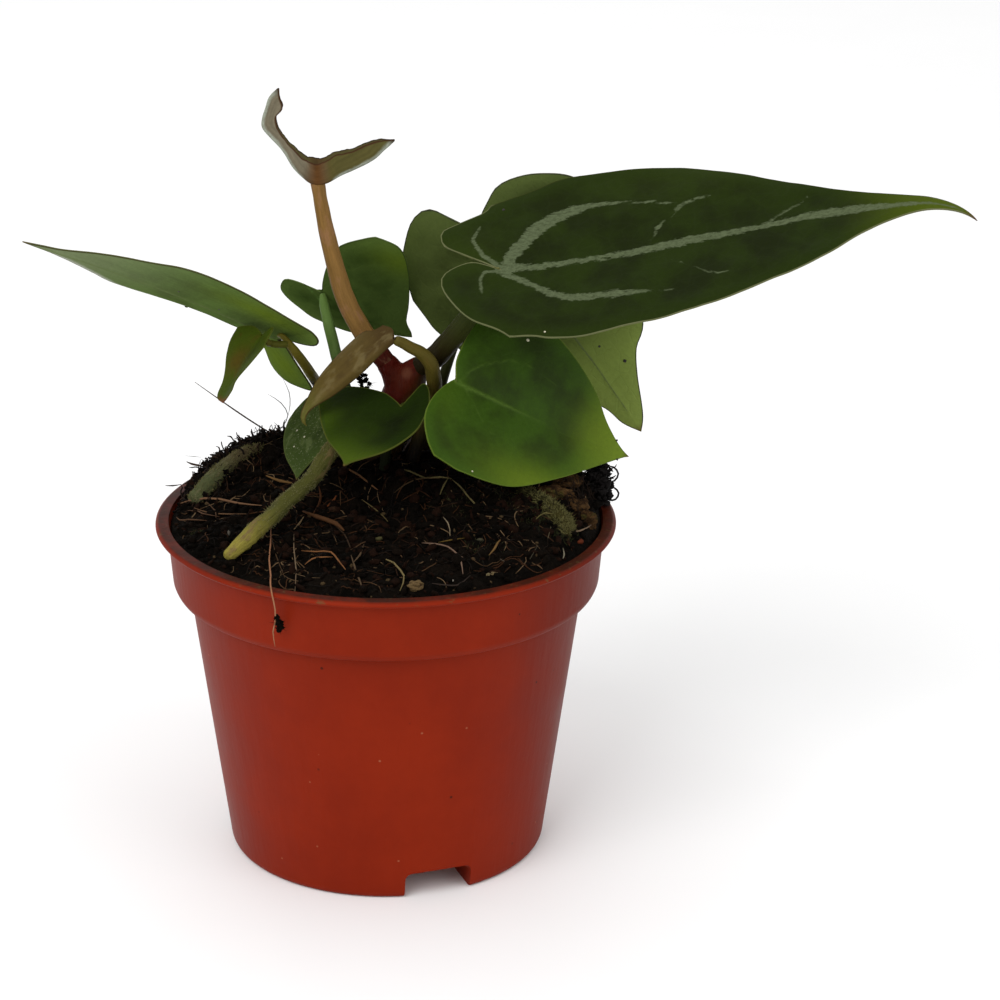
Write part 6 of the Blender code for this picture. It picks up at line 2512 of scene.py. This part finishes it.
FIBRES = (
    Fibre("orange", "704a2c", 0.22, 0.9,
          ((-20.6, -28.5), (-16.7, -30), (-12.8, -32.5), (-10.9, -35.5), (-8.4, -41.5)),
          ((-19.2, -36.8), (-17.4, -35.8), (-15.5, -34.8), (-12.3, -33.8))),
    Fibre("upright_pale", "655441", 0.17, 0.7,
          ((-22.9, -19.8), (-22.4, -28.5), (-21.2, -40), (-20.9, -50.8))),
    Fibre("upright_brown", "402f1f", 0.15, 0.5, ((-28.8, -18.8), (-26.8, -30.5), (-23.7, -45.2))),
    Fibre("tan_stick", "614727", 0.45, 1.0, ((-32.1, 13), (-28.4, 11.8), (-23.8, 9.8))),
    Fibre("left_level", "664a34", 0.3, 1.7,
          ((-54, 4.5), (-51.6, 4.5), (-43.6, 1), (-38.6, -0.8), (-32.1, -4.5))),
    Fibre("left_level_low", "4c3524", 0.22, 1.1, ((-54.5, -2.8), (-53.4, -5), (-50.5, -7.8), (-46, -9))),
    Fibre("left_tangle", "5c432e", 0.2, 1.3, ((-50, -1), (-46, -3), (-41, -3.5), (-36, -6.5))),
    Fibre("left_tangle_low", "4e3828", 0.18, 1.0, ((-52, 0.5), (-49, -1.5), (-47.5, -5.5), (-43, -6.5)),
          ((-47, 1.5), (-44.5, -2), (-43.8, -7.5))),
    Fibre("brown_arc", "402512", 0.34, 1.0, ((-17.8, 5.8), (-17.1, 2), (-17.7, -1.8), (-18.7, -6))),
    Fibre("flat_brown", "472d18", 0.66, 1.0, ((-21.4, -5.5), (-17.3, -8.5), (-12.5, -12), (-10.3, -16))),
    Fibre("flat_brown_tail", "34261a", 0.19, 0.8,
          ((-12.5, -12.8), (-10.2, -17), (-8.7, -22.8), (-7.8, -32.5))),
    Fibre("pale_short", "68563d", 0.25, 0.8, ((-23.1, -16), (-22.1, -11), (-20.9, -9.2))),
    Fibre("fork", "4c3c2b", 0.28, 0.8, ((-7.7, -33.8), (-6.5, -39.2), (-5.3, -44.8), (-4.2, -52.5)),
          ((-6.8, -37.2), (-5.5, -32.8), (-4.8, -25.5))),
    Fibre("bent_tan", "655939", 0.24, 0.8,
          ((-0.1, -34.8), (2.2, -35.8), (3.8, -41.5), (6, -45.8), (5.1, -51.8))),
    Fibre("leaf_tip_twig", "583d26", 0.28, 1.1,
          ((-13.1, 18.2), (-9.9, 11.2), (-7.1, 7.2), (-3.8, 2.8), (-2.2, 1.2))),
    Fibre("thin_pale", "594d2e", 0.19, 0.7, ((-6.3, -0.5), (-2.8, -2.8), (0.9, -13))),
    Fibre("green_tan", "564d2f", 0.26, 1.2, ((3.5, 3), (6.1, 2.8), (10, 3.2), (14, 1.2), (17.1, 1.5)),
          ((16.1, 0.5), (15.1, -1.5), (14.1, -5))),
    Fibre("green_tan_fall", "564d2f", 0.24, 1.0,
          ((17.1, 1.5), (19, 0.2), (20.9, -5.5), (22.7, -8), (24.3, -11))),
    Fibre("brown_curve", "413220", 0.19, 0.8, ((2.1, -1.5), (5, -1), (8.8, 2.2), (14, 1.2))),
    Fibre("white_hook", "746752", 0.19, 1.0, ((15.1, -16), (16.4, -17.8), (17, -23.8))),
    Fibre("pink_level", "685243", 0.21, 1.0,
          ((10, -29.5), (13.3, -29.8), (16.7, -32.2), (19.2, -36.2), (20.5, -39.2)),
          ((19.5, -38.2), (20.1, -41), (20.6, -45))),
    Fibre("yellow_level", "54421a", 0.2, 0.8, ((14.1, -28.5), (17.1, -29), (21.1, -27.5))),
    Fibre("tan_short", "614826", 0.28, 0.8, ((30.2, -25.2), (29, -31.8), (28.3, -34), (27, -36.2))),
    Fibre("white_short", "706958", 0.22, 0.9, ((45.7, -26), (46, -28.8), (45.7, -30.5))),
    Fibre("pale_stick", "6b5947", 0.25, 1.4, ((47.6, -20), (50.2, -18), (53.2, -11.8))),
    Fibre("grey_edge", "2c231d", 0.22, 0.8, ((13, -50.5), (16.2, -49.2), (19.2, -49), (22.4, -45.8))),
    Fibre("pale_dash", "645c4f", 0.15, 0.6, ((29.8, -36.8), (32.3, -39.8))),
    Fibre("green_scrap", "413d23", 0.63, 0.6, ((-2.6, -21.2), (-1, -21.4), (0.6, -21.2))),
    Fibre("red_scrap", "64361a", 0.45, 1.0, ((-15.2, -3), (-14.2, -1.6), (-13, 0.2))),
    Fibre("moss_arc", "58502e", 0.19, 1.6, ((38.9, -18.5), (41.2, -14.5), (44.1, -14.5))),
    Fibre("right_white", "68604a", 0.14, 0.9, ((41.9, -25.5), (42.7, -20.2))),
    Fibre("right_grey", "4c4739", 0.14, 0.9, ((37.3, -34.8), (39.3, -30))),
    Fibre("right_rust", "4c1f0c", 0.77, 0.2, ((49.6, -21.4), (50.4, -20.4), (50.9, -19.4))),
    Fibre("right_tan", "41361d", 0.22, 0.8, ((34.8, -5), (33, -8.5))),
)

# Fibres that leave the soil: name, shade, radius, places
FREE_FIBRES = (
    ("rim_fibre", "8a5f44", 0.2,
     ((-29, -15.8, 92.4), (-28.6, -24.2, 91.6), (-28.3, -34.2, 91.2), (-27.2, -45, 91.3),
      (-26.8, -52, 91.6), (-26.3, -54.6, 90.2), (-25.6, -54.3, 86), (-25.7, -54, 82.5),
      (-26.3, -53, 79.6), (-25.9, -52.9, 75.6))),
    ("air_stick", "3c2e28", 0.22,
     ((-52.5, 37, 113.8), (-41.9, 37, 105.9), (-34.7, 37, 100.9), (-29.9, 37, 98), (-26, 37, 96))),
    ("air_hair_low", "242020", 0.12,
     ((-33, 38, 110.2), (-29.5, 38, 107.7), (-27.7, 38, 104.3), (-29.1, 38, 101.1), (-31.6, 38, 98.2),
      (-32.4, 38, 96))),
    ("edge_hair", "5a5654", 0.08, ((-54.9, 30, 95.3), (-52.6, 30, 95.1), (-50.6, 30, 94.9))),
    ("edge_twig", "33261c", 0.3,
     ((-54.6, 30, 93.6), (-53.2, 29.4, 93.2), (-51.2, 28, 93.3), (-49, 27, 93))),
    ("edge_twig_low", "33261c", 0.22, ((-58.6, 12, 93.5), (-56.8, 13, 93.1), (-54.6, 14, 93.1))),
    ("tan_stem", "5e4328", 0.38, ((-33.2, 37, 97.4), (-33.8, 37, 99.2), (-34.8, 37, 101.2))),
    ("tan_stem_bent", "4c3622", 0.3, ((-36.6, 37, 98.6), (-34.6, 37, 98.9), (-32.8, 37, 98))),
    ("air_hair_high", "302c2a", 0.1,
     ((-28.9, 38, 114.5), (-27.3, 38, 110.8), (-27.1, 38, 107.1), (-27.7, 38, 104))),
    ("pink_stick", "38241a", 0.3, ((-0.6, 2, 99.6), (3.2, 15, 101.3), (7.4, 37.5, 101.2))),
    ("edge_curl", "0a0807", 0.26,
     ((56.6, 8, 101.6), (59.4, 8, 101.2), (60.6, 8, 99.4), (59.6, 8, 97.4), (57.6, 8, 97))),
    ("edge_curl_low", "0a0807", 0.26,
     ((57, 8, 95.8), (59.4, 8, 95.6), (60.8, 8, 94), (60, 8, 92.2), (58.4, 8, 92), (57.8, 8, 93.6))),
)


@dataclass(frozen=True)
class GritFinish:
    """Skin of a grit or pumice chip."""

    name: str
    shade: str
    hollow: str = "3c2c1a"

    def material(self) -> bpy.types.Material:
        """Build the skin.

        Returns:
            The material.
        """
        g = Graph(self.name)
        grain = g.noise(g.room(), 1.4, 4.0, 0.7)
        colour = g.mix(g.band(grain, 0.35, 0.5), tone(self.hollow), tone(self.shade))
        colour = g.shade(colour, g.noise(g.room(), 4.0, 2.0), 0.75, 1.25)
        return g.finish(colour, 0.85, g.bump(grain, 0.5), Specular_IOR_Level=0.1)


@dataclass(frozen=True)
class BarkFinish:
    """Skin of the bark chunks, layered brown with mossy hollows."""

    name: str = "bark_skin"
    deep: str = "24170c"
    bright: str = "4e3820"
    crest: str = "685034"
    moss: str = "45421e"

    def material(self) -> bpy.types.Material:
        """Build the skin, or return the one already built.

        Returns:
            The material.
        """
        found = bpy.data.materials.get(self.name)
        if found is not None:
            return found
        g = Graph(self.name)
        layers = g.noise(g.room((0.5, 0.5, 2.2)), 0.55, 5.0, 0.7)
        fine = g.noise(g.room(), 1.6, 4.0, 0.7)
        colour = g.mix(g.band(layers, 0.38, 0.62), tone(self.deep), tone(self.bright))
        colour = g.tint(g.band(fine, 0.58, 0.72, 0.0, 0.7), colour, self.crest)
        colour = g.tint(g.band(g.noise(g.room(), 0.3, 3.0), 0.56, 0.66, 0.0, 0.6), colour, self.moss)
        colour = g.shade(colour, fine, 0.5, 1.5)
        return g.finish(colour, 0.9, g.bump(g.plus(layers, fine), 0.9), Specular_IOR_Level=0.05)


# Pebbles and chips: spot, half sizes, shade
CHIPS = (
    ((28.3, -42.8), (1.1, 0.7, 0.6), "63543a"),
    ((26.8, -43.6), (0.7, 0.5, 0.4), "665b40"),
    ((-39.7, -17.2), (0.35, 0.35, 0.8), "57524a"),
    ((24.7, -26), (0.9, 0.6, 0.5), "3d3c2d"),
    ((21.6, -26.2), (0.7, 0.6, 0.5), "484a3d"),
    ((18, -47), (0.35, 0.35, 0.35), "8b8479"),
    ((-13.6, -4.4), (1.3, 0.8, 0.7), "241209"),
)


@dataclass(frozen=True)
class Litter:
    """Named fibres, chips, bark and the dry sheath lying on the soil."""

    # Chunks and bits of bark: name, place, half sizes, turn, roughness, seed, CAD node
    bark: tuple = (
        ("bark_right_skin", (44.5, 6.5, 98.4), (6.5, 4.25, 2.75), -25, 0.34, 3, ("bark_right",)),
        ("bark_far_right_skin", (49.5, -4.5, 94.9), (3.5, 2.75, 2), 40, 0.34, 7, ("bark_far_right",)),
        ("bark_front", (43.8, -1, 95.8), (5, 3, 2.7), -28, 0.5, 5, ()),
        ("bark_low", (52.6, -9.4, 92.3), (2.2, 2.2, 3), 20, 0.5, 9, ()),
    )
    chip: tuple = ((9, -50.5, 91.2), (2, 1.5, 1.3), 15)
    # Lumps of dirt on the rim fibre: place and size
    rim_lumps: tuple = (
        (-25.2, -54, 83.9, 0.75), (-24.8, -53.8, 82.4, 1), (-24.4, -53.6, 81.2, 0.9),
        (-24.9, -53.4, 80.2, 0.7),
    )
    sheath: tuple = (
        (-8, 15.2, 116.4), (-5.2, 14.6, 119.4), (-2.8, 14.4, 118.4), (-1.6, 14.6, 115.4),
        (-1.9, 14.4, 109.6),
    )
    sheath_radii: tuple = (0.5, 0.9, 1, 0.9, 0.6)
    debris: tuple = (
        (-7.3, 16, 122.5), (-6.8, 16, 121.6), (-6.2, 16, 123.3), (-5.7, 16, 122), (-4.8, 15.8, 121),
        (-6.8, 15.8, 120.5), (-5.5, 15.4, 119.7),
    )
    debris_half: Place = (0.85, 0.4, 0.6)
    # Hairs of each lump of dirt and each bit of debris: number, radius, shortest and longest
    dirt_hairs: tuple = (14, 0.07, (0.6, 1.6))
    debris_hairs: tuple = (9, 0.09, (0.7, 2.1))
    # Tufts of moss: place, spread, number of hairs
    patches: tuple = (
        (34, -3, 4.5, 360), (40, -14, 4.5, 420), (46, -20, 3, 240), (30, 3, 4.5, 200), (20, -6, 7, 160),
        (-49, -14, 3, 60), (24, -30, 6, 110),
    )
    moss_limit: float = 53.5
    moss_lengths: Spot = (0.5, 1.5)
    moss_radii: Spot = (0.06, 0.12)
    # Size of the bare gaps in the moss, and noise below which the soil is bare
    moss_gaps: Spot = (2.6, -0.12)

    def fibres(self) -> None:
        """Build every named fibre."""
        for fibre in FIBRES:
            shape = Shape()
            for spots in (fibre.spots, fibre.forked):
                if spots:
                    line = [Vector(place) for place in SOIL.lay(spots, fibre.lift)]
                    add_thread(shape, line, fibre.radius, 7, kind=0.5)
            self.finish_thread(shape, "fibre_" + fibre.name, fibre.shade)
        for name, shade, radius, places in FREE_FIBRES:
            shape = Shape()
            add_thread(shape, [Vector(place) for place in places], radius, 8, kind=0.5)
            self.finish_thread(shape, name, shade)

    def finish_thread(self, shape: Shape, name: str, shade: str) -> None:
        """Turn a fibre's shape into a piece."""
        skin = ThreadFinish(name + "_skin", shade, shade, shade).material()
        shape.make(name, [skin], "soil_mix")

    def chips(self) -> None:
        """Build the pale grit, the pebbles and the clump of dirt on the rim fibre."""
        shape = Shape()
        centre, half, turn = self.chip
        add_lump(shape, Vector(centre), half, upright_turn(turn), 5, 0.35, 4.0, kind=0.9)
        skin = GritFinish("chip_pale_skin", "5e4c30").material()
        shape.make("chip_front_skin", [skin], "chip_pale", "chip_front")
        for number, (spot, half, shade) in enumerate(CHIPS):
            shape = Shape()
            lift = SOIL.top(*spot) + half[2] * 0.5
            turn = Matrix.Rotation(number * 1.1, 3, "Z")
            add_lump(shape, Vector((*spot, lift)), half, turn, 3, 0.4, number + 2.5, kind=0.9)
            shape.make(f"chip_{number}", [GritFinish(f"chip_{number}_skin", shade).material()], "chip_pale")
        shape = Shape()
        dice = Dice(23)
        hairs, radius, lengths = self.dirt_hairs
        for number, (x, y, z, size) in enumerate(self.rim_lumps):
            half = (size, size * 0.8, size)
            add_lump(shape, Vector((x, y, z)), half, any_turn(dice), 3, 0.6, number * 1.7, kind=0.4)
            for _ in range(hairs):
                way = dice.way()
                foot = Vector((x, y, z)) + way * size * 0.7
                add_hair(shape, foot, way, dice.between(*lengths), radius, dice.way(),
                         kind=dice.between(0.3, 0.7))
        shape.make("rim_dirt", [SoilFinish().material()], "soil_mix")

    def barks(self) -> None:
        """Build the bark chunks."""
        for name, centre, half, turn, rough, seed, nodes in self.bark:
            shape = Shape()
            add_lump(shape, Vector(centre), half, upright_turn(turn), 5, rough, seed, kind=0.6)
            shape.make(name, [BarkFinish().material()], "bark_dark", *nodes)

    def dry_sheath(self) -> None:
        """Build the papery scale leaf at the crown."""
        shape = Shape()
        Tube(self.sheath, self.sheath_radii, sides=14, steps=9, uneven=0.5, grain=1.2, seed=31.0,
             flat=0.5).fill(shape)
        skin = StemFinish("sheath_skin", "4a3e36", "6b5a4e", "8a7c70", stripes=0.25, flecks=0.6,
                          roughness=0.8, rough_skin=0.4).material()
        shape.make("sheath_dry_skin", [skin], "sheath_dry", "sheath_dry")
        shape = Shape()
        dice = Dice(41)
        hairs, radius, lengths = self.debris_hairs
        for number, place in enumerate(self.debris):
            add_lump(shape, Vector(place), self.debris_half, any_turn(dice), 3, 0.8, number * 2.1, kind=0.3)
            for _ in range(hairs):
                way = dice.way()
                add_hair(shape, Vector(place), way, dice.between(*lengths), radius, dice.way(), kind=0.3)
        shape.make("crown_debris", [SoilFinish().material()], "soil_mix")

    def moss(self) -> None:
        """Build the moss tufts round the mossy root."""
        shape = Shape()
        dice = Dice(53)
        gap_size, bare = self.moss_gaps
        for x0, y0, spread, count in self.patches:
            for _ in range(count):
                x = x0 + float(dice.source.normal()) * spread * 0.6
                y = y0 + float(dice.source.normal()) * spread * 0.6
                cover = noise.noise(Vector((x, y, 5.0)) / gap_size)
                if math.hypot(x, y) > self.moss_limit or cover < bare:
                    continue
                foot = Vector((x, y, SOIL.top(x, y) - 0.1))
                way = (Vector((0.0, 0.0, 1.0)) + dice.way() * 0.9).normalized()
                add_hair(shape, foot, way, dice.between(*self.moss_lengths),
                         dice.between(*self.moss_radii), dice.way(), kind=dice.between(0.0, 1.0))
        shape.make("moss_tufts", [FuzzFinish("moss_skin", "322f1c", 0.9, "232b12").material()], "root_mossy")

    def build(self) -> None:
        """Build everything that lies on the soil."""
        self.fibres()
        self.chips()
        self.barks()
        self.dry_sheath()
        self.moss()


@dataclass(frozen=True)
class Studio:
    """Plain pale floor, soft lights and the camera at the photograph's angle."""

    target: Place = (29.65, 0, 94.8)
    distance: float = 911.35
    elevation: float = 20.905
    roll: float = -0.4825
    lens: float = 126.0
    sensor: float = 36.0
    floor_size: float = 9000.0
    # Name, place, size, power in watts
    lamps: tuple = (
        ("key", (-600, -1000, 1250), 1000, 13),
        ("fill", (1100, -800, 650), 900, 3.3),
        ("back", (-200, 1100, 1300), 1000, 3),
    )
    ambient: float = 0.84

    def camera(self) -> None:
        """Place the camera."""
        slope = math.radians(self.elevation)
        roll = math.radians(self.roll)
        forward = Vector((0.0, math.cos(slope), -math.sin(slope)))
        right = Vector((1.0, 0.0, 0.0))
        up = Vector((0.0, math.sin(slope), math.cos(slope)))
        rolled_right = right * math.cos(roll) - up * math.sin(roll)
        rolled_up = right * math.sin(roll) + up * math.cos(roll)
        data = bpy.data.cameras.new("camera")
        data.lens = self.lens
        data.sensor_width = self.sensor
        data.sensor_height = self.sensor
        data.clip_start = 0.05
        data.clip_end = 30.0
        camera = bpy.data.objects.new("camera", data)
        turn = Matrix((rolled_right, rolled_up, -forward)).transposed().to_4x4()
        place = (Vector(self.target) - forward * self.distance) * MM
        camera.matrix_world = Matrix.Translation(place) @ turn
        bpy.context.scene.collection.objects.link(camera)
        bpy.context.scene.camera = camera

    def lights(self) -> None:
        """Place the soft lights."""
        for name, place, size, power in self.lamps:
            data = bpy.data.lights.new(name, "AREA")
            data.size = size * MM
            data.energy = power
            lamp = bpy.data.objects.new(name, data)
            lamp.location = Vector(place) * MM
            way = Vector((0.0, 0.0, 90.0)) - Vector(place)
            lamp.rotation_euler = way.to_track_quat("-Z", "Y").to_euler()
            bpy.context.scene.collection.objects.link(lamp)
        world = bpy.data.worlds.new("studio")
        world.use_nodes = True
        background = world.node_tree.nodes["Background"]
        background.inputs["Color"].default_value = (1.0, 1.0, 1.0, 1.0)
        background.inputs["Strength"].default_value = self.ambient
        bpy.context.scene.world = world

    def floor(self) -> None:
        """Lay the pale floor."""
        half = self.floor_size / 2.0 * MM
        mesh = bpy.data.meshes.new("floor")
        corners = [(-half, -half, 0.0), (half, -half, 0.0), (half, half, 0.0), (-half, half, 0.0)]
        mesh.from_pydata(corners, [], [(0, 1, 2, 3)])
        g = Graph("floor_paper")
        grain = g.noise(g.room(), 0.02, 2.0)
        mesh.materials.append(g.finish(g.shade((0.92, 0.92, 0.92), grain, 0.99, 1.01), 0.9))
        floor = bpy.data.objects.new("floor", mesh)
        bpy.context.scene.collection.objects.link(floor)

    def build(self) -> None:
        """Set the studio up."""
        self.camera()
        self.lights()
        self.floor()
        bpy.context.scene.view_settings.view_transform = "Standard"


def main() -> None:
    """Build the studio and every piece."""
    logging.basicConfig(level=logging.INFO, format="%(name)s: %(message)s")
    Studio().build()
    POT.build()
    SOIL.bed()
    SOIL.litter()
    SOIL.chaff()
    SOIL.edges()
    Crown().build()
    for item in BLADES + (Channel(),) + STALKS + ROOTS:
        item.build()
    Litter().build()


if __name__ == "__main__":
    main()
